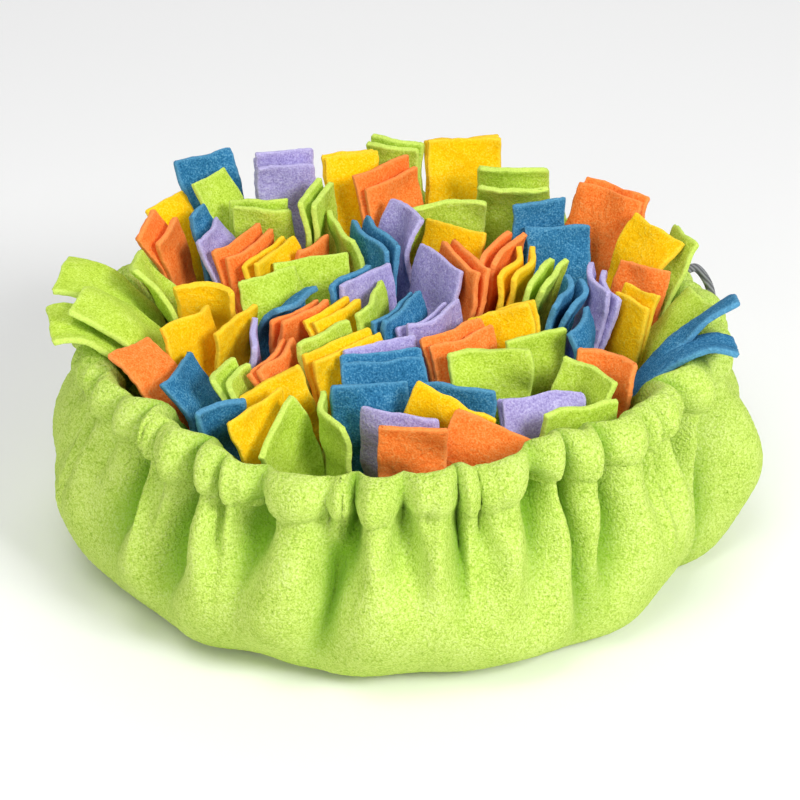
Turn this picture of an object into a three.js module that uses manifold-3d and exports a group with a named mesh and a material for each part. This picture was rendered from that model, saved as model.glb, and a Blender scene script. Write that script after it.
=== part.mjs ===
// Snuffle bag: a round fleece bag with a gathered mouth, filled with tufts of cut fleece tabs.
import * as THREE from "three";
import { mergeVertices } from "three/addons/utils/BufferGeometryUtils.js";
import Module from "manifold-3d";

const wasm = await Module();
wasm.setup();

const DEG = Math.PI / 180;
const TURN = Math.PI * 2;
const MERGE_DISTANCE = 1e-3;
const SMALLEST_DETAIL = 0.05;

// Colours of the fleece and the cord
const COLOURS = {
  green: 0xb9dc57,
  blue: 0x2f83b5,
  orange: 0xf9783a,
  yellow: 0xfbc81e,
  purple: 0xaa9bd2,
  cord: 0x77797c,
};
const FLEECE_ROUGHNESS = 0.95;
const CORD_ROUGHNESS = 0.7;

// Bag: wall profile from the middle of the base up the outside, over the casing and down the inside
const PLEATS = 50;
const COLUMNS_PER_PLEAT = 3;
const PLEAT_DEPTH = 4.6;
const PLEAT_SHAPE = [-1, 0.55, 0.45];
const PLEAT_SLIP = 0.26;
const PLEAT_STRENGTH = 0.75;
const CASING_WOBBLE = 1.6;
const WOBBLE_BEAT = 0.83;
const FLOOR_THICKNESS = 3;

// Unevenness of the gathers from one to the next: in their place and in their strength
const SLIP_WAVES = [
  { size: 1, beat: 2.39, start: 0 },
  { size: 0.6, beat: 1.31, start: 1 },
];
const STRENGTH_WAVES = [
  { size: 0.3, beat: 1.7, start: 0 },
  { size: 0.2, beat: 0.71, start: 2 },
];

// r: radius, z: height, then the shares of the wall folds, of the gathers and of the rim's shape
const PROFILE = [
  { r: 0, z: 0, fold: 0, pleat: 0, mouth: 0 },
  { r: 128, z: 0, fold: 0.1, pleat: 0, mouth: 0 },
  { r: 142, z: 5, fold: 0.3, pleat: 0, mouth: 0 },
  { r: 152, z: 15, fold: 0.6, pleat: 0, mouth: 0 },
  { r: 158, z: 28, fold: 0.8, pleat: 0, mouth: 0.1 },
  { r: 160, z: 43, fold: 0.95, pleat: 0, mouth: 0.25 },
  { r: 158, z: 58, fold: 1, pleat: 0.1, mouth: 0.5 },
  { r: 153, z: 71, fold: 1, pleat: 0.3, mouth: 0.8 },
  { r: 147.5, z: 80, fold: 0.9, pleat: 0.7, mouth: 1 },
  { r: 145.5, z: 85, fold: 0.7, pleat: 1, mouth: 1 },
  { r: 149.5, z: 90, fold: 0.4, pleat: 1, mouth: 1 },
  { r: 150.5, z: 97, fold: 0.3, pleat: 0.9, mouth: 1 },
  { r: 147.5, z: 103, fold: 0.3, pleat: 0.8, mouth: 1 },
  { r: 142.5, z: 105, fold: 0.3, pleat: 0.7, mouth: 1 },
  { r: 138, z: 101, fold: 0.3, pleat: 0.7, mouth: 1 },
  { r: 137, z: 93, fold: 0.4, pleat: 0.9, mouth: 1 },
  { r: 141, z: 84.5, fold: 0.7, pleat: 1, mouth: 1 },
  { r: 149.8, z: 69.5, fold: 1, pleat: 0.3, mouth: 0.8 },
  { r: 156.6, z: 43, fold: 0.95, pleat: 0, mouth: 0.25 },
  { r: 149.4, z: 17.5, fold: 0.6, pleat: 0, mouth: 0 },
  { r: 127, z: FLOOR_THICKNESS, fold: 0.1, pleat: 0, mouth: 0 },
  { r: 0, z: FLOOR_THICKNESS, fold: 0, pleat: 0, mouth: 0 },
];
const STITCH_HEIGHT = 85;

// Folds of the wall: angle from the front at the stitch line and at the foot, depth, spread, way down
const FOLD_HOLD = 0.15;
const FOLDS = [
  { top: -170, foot: -173, depth: 8, spread: 6.5, reach: 78 },
  { top: -147, foot: -151, depth: 6.5, spread: 6, reach: 60 },
  { top: -124, foot: -120, depth: 9, spread: 6.5, reach: 82 },
  { top: -101, foot: -104, depth: 7.5, spread: 6, reach: 70 },
  { top: -76, foot: -79, depth: 6.5, spread: 6, reach: 64 },
  { top: -51, foot: -54, depth: 8, spread: 5.5, reach: 62 },
  { top: -33, foot: -40, depth: 9, spread: 4.6, reach: 72 },
  { top: -20, foot: -25, depth: 7.5, spread: 4.4, reach: 58 },
  { top: -8, foot: -15, depth: 9, spread: 4.4, reach: 84 },
  { top: -1, foot: 2, depth: 5, spread: 3.6, reach: 42 },
  { top: 8, foot: 10, depth: 6.5, spread: 4.4, reach: 54 },
  { top: 20, foot: 19, depth: 7, spread: 4.4, reach: 60 },
  { top: 28, foot: 30, depth: 9, spread: 4, reach: 82 },
  { top: 38, foot: 36, depth: 7.5, spread: 4.4, reach: 64 },
  { top: 53, foot: 53, depth: 8, spread: 5, reach: 56 },
  { top: 66, foot: 62, depth: 10, spread: 6, reach: 84 },
  { top: 88, foot: 91, depth: 7.5, spread: 6.5, reach: 74 },
  { top: 112, foot: 108, depth: 8, spread: 6.5, reach: 66 },
  { top: 135, foot: 138, depth: 7, spread: 6, reach: 78 },
  { top: 158, foot: 155, depth: 8, spread: 6.5, reach: 62 },
];

// Shape of the mouth and belly: angle from the front, change of the rim's radius, its lift, change below
const MOUTH = [
  { turn: -150, rim: -8, lift: -3, belly: 0 },
  { turn: -110, rim: -10, lift: -4, belly: 1 },
  { turn: -75, rim: -6, lift: -1, belly: 0 },
  { turn: -48, rim: -2, lift: -1, belly: 1 },
  { turn: -22, rim: 2, lift: -5, belly: 0 },
  { turn: 3, rim: 2, lift: -2, belly: -2 },
  { turn: 30, rim: -8, lift: 0, belly: -1 },
  { turn: 55, rim: -9, lift: 0, belly: -9 },
  { turn: 76, rim: -5, lift: -1, belly: 1 },
  { turn: 110, rim: -10, lift: -8, belly: 0 },
  { turn: 160, rim: -8, lift: -4, belly: 0 },
];

// Fleece tabs
const TAB_THICKNESS = 2.5;
const TAB_STEPS = 6;
const TAB_GAP = 6;
const TAB_FALL = 2.5;
const ROOT_SHARE = 0.36;
const ROOT_LENGTH = 0.6;
const ROOT_PULL = 0.86;
const ROOT_PITCH = 3.2;
const BEND_HEIGHT = 80;
const DRAPE_LEAN = 40;
const DRAPE_REACH = 0.5;
const BEND_MOST = 20;
const RISE = 60;
const TIP_REACH = 34;

// Backing at a tuft's root
const BACKING_WIDTH = 12;
const BACKING_HEIGHT = 6;
const BACKING_MARGIN = 3;
const BACKING_STRIP = 6;
const STRIP_HEIGHT = 2.4;
const CLEARANCE = 0.4;

// Tabs by tuft: how many, middle of the tip edge, its heading, lean from upright, fan between tabs,
// tilt of the tip edge, width
const TAB_COLUMNS = ["tuft", "count", "x", "y", "z", "heading", "lean", "fan", "tilt", "width"];
const TABS = [
  ["blue_1", 1, -90, 90, 137, 30, 20, 0, 0, 30],
  ["blue_4", 1, -95, 55, 125, 62, 20, 0, 0, 16],
  ["green_1", 1, -83, 75, 134, 52, 12, 0, 0, 24],
  ["green_1", 2, -68, 60, 126, 20, 5, 10, 0, 28],
  ["purple_1", 3, -57, 91, 137, 10, 18, 8, 0, 28],
  ["yellow_1", 2, -26, 88, 137, 15, 10, 8, 0, 26],
  ["blue_2", 2, -14, 42, 122, -70, 5, 8, 0, 38],
  ["blue_2", 1, -25, 7, 117, 43, 10, 0, 0, 30],
  ["orange_1", 2, -7, 84, 133, 48, 15, 8, 0, 36],
  ["yellow_2", 2, 28, 105, 139, 15, 6, 8, 0, 36],
  ["green_2", 2, -2, 115, 136, -25, 16, 10, 0, 26],
  ["green_2", 1, 20, 67, 125, 3, -8, 0, 0, 36],
  ["green_2", 3, 54, 84, 136, -3, 15, 8, 0, 34],
  ["orange_2", 2, 95, 66, 133, -42, 22, 10, 0, 36],
  ["orange_2", 1, 101, 17, 117, -30, 15, 0, 0, 26],
  ["yellow_3", 1, 115, 32, 124, -65, 30, 0, 0, 30],
  ["green_3", 1, 128, 38, 121, -67, 38, 0, 0, 30],
  ["green_3", 1, 122, -7, 115, -64, 30, 0, 0, 24],
  ["blue_3", 1, 64, 60, 126, 24, 10, 0, 0, 26],
  ["blue_3", 1, 72, 46, 121, 10, 10, 0, 0, 30],
  ["orange_3", 2, 42, 34, 122, 64, -5, 12, 0, 36],
  ["orange_3", 2, 27, 18, 119, -57, 12, 8, 0, 38],
  ["yellow_4", 2, 52, 19, 119, 72, -8, 10, 0, 34],
  ["yellow_5", 1, -108, 67, 128, 55, 30, 0, 0, 25],
  ["orange_4", 2, -122, 37, 121, 85, 50, 20, 0, 22],
  ["purple_2", 1, -80, 38, 123, 61, 12, 0, 0, 32],
  ["orange_5", 2, -70, 29, 121, 60, 12, 6, 0, 36],
  ["yellow_6", 2, -56, 29, 120, 60, 10, 6, 0, 35],
  ["orange_6", 1, -40, 35, 118, 60, 8, 0, 0, 24],
  ["green_4", 2, -41, 61, 131, 75, 5, 10, 0, 30],
  ["green_4", 1, -28, 45, 122, -70, 0, 0, 0, 36],
  ["purple_3", 1, 0, 52, 126, -50, 10, 0, 0, 30],
  ["green_5", 1, -41, 17, 118, 16, 15, 0, 0, 36],
  ["green_5", 1, -56, 4, 117, 43, 8, 0, 0, 30],
  ["purple_4", 1, -13, 5.5, 116, 38, 10, 0, 0, 34],
  ["green_6", 1, -150, 9, 121, 85, 80, 0, 0, 30],
  ["green_6", 1, -117, 8, 121, 74, 25, 0, 0, 26],
  ["green_7", 1, -136, -22, 121, 80, 80, 0, 0, 32],
  ["green_7", 1, -152, -38, 117, 100, 98, 0, 0, 24],
  ["yellow_7", 1, -86, 0, 118, -11, -5, 0, 0, 32],
  ["yellow_7", 1, -72, -28, 113, 73, 5, 0, 0, 32],
  ["yellow_7", 1, -93, -33, 112, 40, 20, 0, 0, 32],
  ["blue_5", 1, -54, -13, 115, 43, 5, 0, 0, 32],
  ["purple_5", 1, -63, -39, 111, 75, 5, 0, 0, 30],
  ["orange_7", 2, -52, -49, 108, 74, 5, 8, 0, 34],
  ["orange_7", 2, -44, -19, 114, 48, 8, 8, 0, 30],
  ["yellow_8", 1, -57, -71, 107, 30, 15, 0, 20, 28],
  ["yellow_8", 1, -60, -94, 104, 63, 15, 0, 0, 34],
  ["yellow_9", 2, -29, -23, 113, 60, 5, 8, 0, 30],
  ["yellow_10", 2, -25, -47, 110, 43, 12, 6, 0, 38],
  ["green_8", 1, -31, -39, 111, 43, 12, 0, 0, 34],
  ["green_8", 1, -9, -12, 114, 64, 5, 0, 0, 36],
  ["blue_6", 2, 0, -17, 114, 62, 3, 8, 0, 36],
  ["purple_6", 2, 13, -25, 112, 60, 3, 8, 0, 34],
  ["purple_6", 1, 15, 16, 118, -60, 12, 0, 0, 34],
  ["yellow_11", 1, 20, 43, 121, -28, 10, 0, 0, 32],
  ["orange_8", 2, 26, -41, 111, 38, 8, 8, 0, 34],
  ["yellow_12", 2, 43, -20, 113, -20, 15, 8, 25, 32],
  ["green_9", 1, 37, -52, 110, 20, 12, 0, 0, 36],
  ["green_9", 1, 58, -45, 110, 33, 10, 0, 0, 28],
  ["green_10", 2, 60, 8, 117, 62, 0, 10, 0, 34],
  ["blue_7", 2, 70, -7, 116, 72, -3, 10, 0, 34],
  ["blue_7", 1, 82, -36, 112, 60, -5, 0, 0, 26],
  ["purple_7", 2, 86, 3, 117, -76, 8, 10, 0, 32],
  ["yellow_13", 2, 105, -11, 114, -40, 15, 10, 0, 22],
  ["blue_8", 1, 139, -36, 121, -87, 74, 0, 0, 22],
  ["blue_8", 1, 141, -46, 114, -90, 107, 0, 0, 20],
  ["orange_9", 1, 87, -58, 109, -25, 12, 0, 0, 30],
  ["green_11", 1, 79, -64, 106, -48, 12, 0, 0, 32],
  ["green_11", 1, 77, -90, 103, 26, -8, 0, 0, 34],
  ["purple_8", 2, 56, -84, 104, 17, 8, 8, 0, 36],
  ["orange_10", 1, 36, -110, 102, 0, 5, 0, -20, 36],
  ["orange_10", 1, 3, -107, 103, -10, 5, 0, 0, 34],
  ["yellow_14", 1, 21, -92, 105, -20, 8, 0, -20, 36],
  ["blue_9", 1, 22, -77, 105, -20, 8, 0, 0, 34],
  ["blue_9", 1, -14, -79, 105, 2, 10, 0, 0, 32],
  ["blue_9", 2, -8, -60, 110, 8, 15, 6, 0, 36],
  ["purple_9", 1, 0, -95, 104, -28, 5, 0, 0, 34],
  ["purple_10", 1, -10, -49, 111, 25, 12, 0, 0, 34],
  ["green_12", 1, -34, -95, 104, -72, 0, 0, 0, 34],
  ["green_12", 1, -52, -101, 103, 45, 8, 0, 30, 32],
  ["blue_10", 1, -91, -62, 109, 68, 20, 0, 0, 34],
  ["blue_10", 1, -77, -90, 104, 50, 8, 0, 0, 24],
  ["green_13", 2, -72, -70, 107, 60, 10, 10, 0, 27],
  ["orange_11", 1, -107, -54, 109, 50, 45, 0, 0, 20],
].map((row) => Object.fromEntries(TAB_COLUMNS.map((column, place) => [column, row[place]])));

// Drawcord tail at the back right of the mouth
const CORD_RADIUS = 2;
const CORD_SIDES = 8;
const CORD_STEPS = 16;
const CORD_KNOT_RADIUS = 5;
// turn: angle from the front, r: radius, z: height
const CORD_ROUTE = [
  { turn: 116, r: 147, z: 90 },
  { turn: 116, r: 154, z: 90 },
  { turn: 115, r: 160, z: 80 },
  { turn: 114, r: 162, z: 64 },
];

function smooth(share) {
  const t = Math.min(1, Math.max(0, share));
  return t * t * (3 - 2 * t);
}

function waves(table, place) {
  return table.reduce((sum, { size, beat, start }) => sum + size * Math.sin(place * beat + start), 0);
}

// A closed solid from a geometry whose corners may be doubled
function solidOf(geometry) {
  const bare = new THREE.BufferGeometry();
  bare.setAttribute("position", geometry.getAttribute("position").clone());
  bare.setIndex(geometry.getIndex());
  const merged = mergeVertices(bare, MERGE_DISTANCE);
  const mesh = new wasm.Mesh({
    numProp: 3,
    vertProperties: new Float32Array(merged.getAttribute("position").array),
    triVerts: new Uint32Array(merged.getIndex().array),
  });
  return new wasm.Manifold(mesh);
}

function geometryOf(solid) {
  const mesh = solid.getMesh();
  const geometry = new THREE.BufferGeometry();
  geometry.setAttribute("position", new THREE.BufferAttribute(mesh.vertProperties.slice(), 3));
  geometry.setIndex(new THREE.BufferAttribute(mesh.triVerts.slice(), 1));
  geometry.computeVertexNormals();
  return geometry;
}

function fleece(colour) {
  const look = { color: COLOURS[colour], roughness: FLEECE_ROUGHNESS, metalness: 0 };
  return new THREE.MeshStandardMaterial(look);
}

// Value of a column of the mouth table at an angle, eased from row to row around the rim
function mouthValue(turnDeg, column) {
  const count = MOUTH.length;
  for (let i = 0; i < count; i += 1) {
    const here = MOUTH[i];
    const next = MOUTH[(i + 1) % count];
    const span = (next.turn - here.turn + 360) % 360;
    const into = (turnDeg - here.turn + 720) % 360;
    if (into < span) {
      return here[column] + (next[column] - here[column]) * smooth(into / span);
    }
  }
  return 0;
}

// Depth of the wall folds at an angle and height
function foldDepth(turnDeg, height) {
  let depth = 0;
  for (const fold of FOLDS) {
    const down = Math.max(0, STITCH_HEIGHT - height);
    const along = Math.min(1, down / fold.reach);
    const middle = fold.top + (fold.foot - fold.top) * along;
    const away = ((turnDeg - middle + 540) % 360) - 180;
    const fade = 1 - smooth(down / fold.reach - FOLD_HOLD);
    depth += fold.depth * fade * Math.exp(-((away / fold.spread) ** 2));
  }
  return depth;
}

// Angle of a column: pleats of uneven width, three columns to each
function columnTurn(column) {
  const pleat = column / COLUMNS_PER_PLEAT;
  const closing = Math.min(1, pleat, PLEATS - pleat);
  return (TURN / PLEATS) * (pleat + PLEAT_SLIP * waves(SLIP_WAVES, pleat) * closing);
}

// Outward reach of the gathers at a column
function pleatReach(column) {
  const pleat = Math.floor(column / COLUMNS_PER_PLEAT) % PLEATS;
  const strength = PLEAT_STRENGTH + waves(STRENGTH_WAVES, pleat);
  return PLEAT_DEPTH * strength * PLEAT_SHAPE[column % COLUMNS_PER_PLEAT];
}

function bagPoint(row, column) {
  const turn = columnTurn(column);
  const turnDeg = turn / DEG;
  const belly = mouthValue(turnDeg, "belly") * (1 - row.mouth) * (row.r > 0 ? 1 : 0);
  const rim = mouthValue(turnDeg, "rim") * row.mouth;
  const folded = foldDepth(turnDeg, row.z) * row.fold;
  const radius = row.r + belly + rim - folded + pleatReach(column) * row.pleat;
  const wobble = CASING_WOBBLE * Math.sin(column * WOBBLE_BEAT) * row.pleat;
  const height = row.z + mouthValue(turnDeg, "lift") * row.mouth + wobble * row.mouth;
  return new THREE.Vector3(radius * Math.sin(turn), -radius * Math.cos(turn), height);
}

function bagMesh() {
  const columns = PLEATS * COLUMNS_PER_PLEAT;
  const outline = PROFILE.map((row) => new THREE.Vector2(row.r, row.z));
  const geometry = new THREE.LatheGeometry(outline, columns);
  const position = geometry.getAttribute("position");
  for (let column = 0; column <= columns; column += 1) {
    PROFILE.forEach((row, place) => {
      const point = bagPoint(row, column % columns);
      position.setXYZ(column * PROFILE.length + place, point.x, point.y, point.z);
    });
  }
  const mesh = new THREE.Mesh(geometryOf(solidOf(geometry)), fleece("green"));
  mesh.name = "bag";
  return mesh;
}

// Directions of a group of tabs: along the tip edge and square to it
function directions(tab) {
  const angle = tab.heading * DEG;
  return {
    along: new THREE.Vector3(Math.cos(angle), Math.sin(angle), 0),
    across: new THREE.Vector3(-Math.sin(angle), Math.cos(angle), 0),
  };
}

// Root of a group of tabs on the bag's floor, drawn in from where it stands at the mouth
function rootOf(tab) {
  const { across } = directions(tab);
  const bend = Math.min(BEND_MOST, (tab.z - BEND_HEIGHT) * Math.tan((tab.lean * DEG) / 2));
  const drape = DRAPE_REACH * Math.max(0, tab.lean - DRAPE_LEAN);
  const root = new THREE.Vector3(tab.x, tab.y, 0).addScaledVector(across, -bend - drape);
  root.multiplyScalar(ROOT_PULL);
  root.z = FLOOR_THICKNESS + CLEARANCE;
  return root;
}

// Middle line of one tab of a group, from its root in the backing to its tip
function tabCurve(tab, place) {
  const { along, across } = directions(tab);
  const lean = (tab.lean + place * tab.fan) * DEG;
  const tilt = tab.tilt * DEG;
  const root = rootOf(tab).addScaledVector(across, place * ROOT_PITCH);
  root.z += BACKING_HEIGHT / 2;
  const tip = new THREE.Vector3(tab.x, tab.y, tab.z - Math.abs(place) * TAB_FALL);
  tip.addScaledVector(across, place * TAB_GAP);
  const upward = new THREE.Vector3(0, 0, Math.cos(lean)).addScaledVector(across, Math.sin(lean));
  const pointing = upward.clone().multiplyScalar(Math.cos(tilt)).addScaledVector(along, -Math.sin(tilt));
  return new THREE.CubicBezierCurve3(
    root,
    root.clone().setZ(root.z + RISE),
    tip.clone().addScaledVector(pointing, -TIP_REACH),
    tip,
  );
}

// One flat tab bent along its middle line, narrowed to its root
function tabSolid(tab, place) {
  const curve = tabCurve(tab, place);
  const { along } = directions(tab);
  const geometry = new THREE.BoxGeometry(1, TAB_THICKNESS, 1, 1, 1, TAB_STEPS);
  const position = geometry.getAttribute("position");
  for (let i = 0; i < position.count; i += 1) {
    const share = position.getZ(i) + 0.5;
    const tangent = curve.getTangent(share);
    const facing = along.clone().cross(tangent).normalize();
    const rib = along.clone().applyAxisAngle(facing, tab.tilt * DEG * share ** 2);
    const face = rib.clone().cross(tangent).normalize();
    const width = tab.width * (ROOT_SHARE + (1 - ROOT_SHARE) * smooth(share / ROOT_LENGTH));
    const point = curve.getPoint(share);
    point.addScaledVector(rib, position.getX(i) * width);
    point.addScaledVector(face, -position.getY(i));
    position.setXYZ(i, point.x, point.y, point.z);
  }
  return solidOf(geometry);
}

// Sewn root of a group of tabs
function backingSolid(tab) {
  const depth = (tab.count - 1) * ROOT_PITCH + TAB_THICKNESS + BACKING_MARGIN;
  const root = rootOf(tab);
  const geometry = new THREE.BoxGeometry(BACKING_WIDTH, depth, BACKING_HEIGHT);
  geometry.rotateZ(tab.heading * DEG);
  geometry.translate(root.x, root.y, root.z + BACKING_HEIGHT / 2);
  return solidOf(geometry);
}

// Strip of the same fleece that joins two sewn roots along the floor
function stripSolid(from, to) {
  const start = rootOf(from);
  const way = rootOf(to).sub(start);
  const geometry = new THREE.BoxGeometry(way.length(), BACKING_STRIP, STRIP_HEIGHT);
  geometry.translate(way.length() / 2, 0, STRIP_HEIGHT / 2);
  geometry.rotateZ(Math.atan2(way.y, way.x));
  geometry.translate(start.x, start.y, start.z);
  return solidOf(geometry);
}

function tuftMesh(name, groups) {
  const pieces = [];
  groups.forEach((tab, order) => {
    pieces.push(backingSolid(tab));
    if (order > 0) {
      pieces.push(stripSolid(groups[order - 1], tab));
    }
    for (let i = 0; i < tab.count; i += 1) {
      pieces.push(tabSolid(tab, i - (tab.count - 1) / 2));
    }
  });
  const joined = pieces.reduce((whole, piece) => whole.add(piece)).simplify(SMALLEST_DETAIL);
  const mesh = new THREE.Mesh(geometryOf(joined), fleece(name.split("_")[0]));
  mesh.name = `tuft_${name}`;
  return mesh;
}

function drawcordMesh() {
  const points = CORD_ROUTE.map(({ turn, r, z }) => {
    return new THREE.Vector3(r * Math.sin(turn * DEG), -r * Math.cos(turn * DEG), z);
  });
  const curve = new THREE.CatmullRomCurve3(points);
  const section = new THREE.Shape();
  for (let side = 0; side < CORD_SIDES; side += 1) {
    const angle = (side / CORD_SIDES) * TURN;
    const x = CORD_RADIUS * Math.cos(angle);
    const y = CORD_RADIUS * Math.sin(angle);
    if (side === 0) {
      section.moveTo(x, y);
    } else {
      section.lineTo(x, y);
    }
  }
  const tube = new THREE.ExtrudeGeometry(section, { steps: CORD_STEPS, extrudePath: curve });
  const knot = new THREE.SphereGeometry(CORD_KNOT_RADIUS, CORD_SIDES, CORD_SIDES / 2 + 1);
  const end = points[points.length - 1];
  knot.translate(end.x, end.y, end.z);
  const joined = solidOf(indexed(tube)).add(solidOf(knot));
  const cordColour = { color: COLOURS.cord, roughness: CORD_ROUGHNESS, metalness: 0 };
  const mesh = new THREE.Mesh(geometryOf(joined), new THREE.MeshStandardMaterial(cordColour));
  mesh.name = "drawcord";
  return mesh;
}

function indexed(geometry) {
  const bare = new THREE.BufferGeometry();
  bare.setAttribute("position", geometry.getAttribute("position"));
  return mergeVertices(bare, MERGE_DISTANCE);
}

function snuffleBag() {
  const group = new THREE.Group();
  group.add(bagMesh());
  const tufts = new Map();
  for (const tab of TABS) {
    tufts.set(tab.tuft, [...(tufts.get(tab.tuft) ?? []), tab]);
  }
  for (const [name, groups] of tufts) {
    group.add(tuftMesh(name, groups));
  }
  group.add(drawcordMesh());
  return group;
}

export default snuffleBag();
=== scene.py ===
"""Snuffle bag: a gathered fleece bag, its heap of cut fleece tabs and the tail of its drawcord."""

import logging
import math
from dataclasses import dataclass, replace
from enum import Enum
from typing import NamedTuple, Sequence

import bpy
import numpy as np
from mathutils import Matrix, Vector
from mathutils.bvhtree import BVHTree


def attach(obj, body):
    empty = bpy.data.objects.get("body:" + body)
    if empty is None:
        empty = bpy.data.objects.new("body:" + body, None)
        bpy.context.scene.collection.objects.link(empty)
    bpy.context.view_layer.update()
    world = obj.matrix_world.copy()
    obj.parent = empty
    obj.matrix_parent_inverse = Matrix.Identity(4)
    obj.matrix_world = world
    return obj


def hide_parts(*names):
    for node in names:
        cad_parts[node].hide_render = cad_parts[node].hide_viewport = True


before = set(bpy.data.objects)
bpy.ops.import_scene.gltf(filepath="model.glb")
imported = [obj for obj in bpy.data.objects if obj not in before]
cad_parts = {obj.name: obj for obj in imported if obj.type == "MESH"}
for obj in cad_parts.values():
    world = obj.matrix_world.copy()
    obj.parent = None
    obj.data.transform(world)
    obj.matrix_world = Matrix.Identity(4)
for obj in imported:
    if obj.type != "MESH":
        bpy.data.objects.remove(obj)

LOG = logging.getLogger("snuffle_bag")
MM = 0.001
TINY = 1e-9
GRAIN_SPREAD = (0.75, 1.3)
# Mesh mark of the painted highlight along the tabs' cut edges.
PAINTED_EDGE_HIGHLIGHT = "painted_edge_highlight"
# Mesh mark of the painted shade that darkens the bag's fold valleys.
PAINTED_FOLD_SHADE = "painted_fold_shade"
Colour = tuple[float, float, float]
Place = tuple[float, float, float]
Socket = bpy.types.NodeSocket


def smooth(share: np.ndarray) -> np.ndarray:
    """Eased share from 0 to 1."""
    t = np.clip(share, 0.0, 1.0)
    return t * t * (3.0 - 2.0 * t)


def linear(red: int, green: int, blue: int) -> Colour:
    """Linear colour of a display colour.

    Args:
        red: Red from 0 to 255.
        green: Green from 0 to 255.
        blue: Blue from 0 to 255.

    Returns:
        The colour as a shader socket takes it.
    """

    def one(value: int) -> float:
        """Linear value of one channel."""
        v = value / 255.0
        return v / 12.92 if v <= 0.04045 else ((v + 0.055) / 1.055) ** 2.4

    return one(red), one(green), one(blue)


def ripple(points: np.ndarray, wavelength: float, seed: int, waves: int = 28) -> np.ndarray:
    """Soft uneven field of one grain size, as pile and slack cloth have it.

    Args:
        points: Places in millimetres, one row each.
        wavelength: Grain size in millimetres.
        seed: Seed of the field.
        waves: How many plane waves make it up.

    Returns:
        A value for each place, about -2 to 2.
    """
    rng = np.random.default_rng(seed)
    ways = rng.normal(size=(waves, 3))
    ways /= np.linalg.norm(ways, axis=1)[:, None]
    ways *= (2.0 * math.pi / wavelength) * rng.uniform(*GRAIN_SPREAD, size=(waves, 1))
    starts = rng.uniform(0.0, 2.0 * math.pi, size=waves)
    flat = points.reshape(-1, 3)
    total = np.zeros(len(flat))
    for way, start in zip(ways, starts):
        total += np.cos(flat @ way + start)
    return (total * math.sqrt(2.0 / waves)).reshape(points.shape[:-1])


def band(first: int, second: int, count: int) -> list[tuple[int, ...]]:
    """Faces between two closed rings of corners.

    Args:
        first: Number of the first ring's first corner.
        second: Number of the second ring's first corner.
        count: Corners of a ring.

    Returns:
        One face for each corner of a ring.
    """
    return [(first + i, first + (i + 1) % count, second + (i + 1) % count, second + i) for i in range(count)]


class Ramp(NamedTuple):
    """A change that starts at a share of a tab's length and takes another share to come in."""

    start: float
    over: float

    def at(self, share: np.ndarray) -> np.ndarray:
        """How far the change has come in at each share of the length."""
        return smooth((share - self.start) / self.over)


class Grain(NamedTuple):
    """Unevenness of one height and grain size."""

    height: float
    size: float

    def at(self, points: np.ndarray, seed: int) -> np.ndarray:
        """Height of the unevenness at each place."""
        return self.height * ripple(points, self.size, seed)


def mesh_object(
    name: str,
    points: np.ndarray,
    faces: Sequence[Sequence[int]],
    material: bpy.types.Material,
    marks: dict[str, np.ndarray],
) -> bpy.types.Object:
    """A smooth mesh object in the part's own frame.

    Args:
        name: Name of the piece.
        points: Corners in millimetres.
        faces: Corner numbers of each face.
        material: Finish of the whole piece.
        marks: Values by corner that the finish reads.

    Returns:
        The new object, linked to the scene.
    """
    mesh = bpy.data.meshes.new(name)
    mesh.from_pydata((points * MM).tolist(), [], faces)
    for mark, values in marks.items():
        layer = mesh.attributes.new(mark, "FLOAT", "POINT")
        layer.data.foreach_set("value", values.astype(np.float32))
    mesh.polygons.foreach_set("use_smooth", [True] * len(mesh.polygons))
    mesh.materials.append(material)
    mesh.validate()
    piece = bpy.data.objects.new(name, mesh)
    bpy.context.scene.collection.objects.link(piece)
    return piece


class Pile(Enum):
    """How the fleece is brushed."""

    NUBBLY = "nubbly"
    BRUSHED = "brushed"


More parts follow.
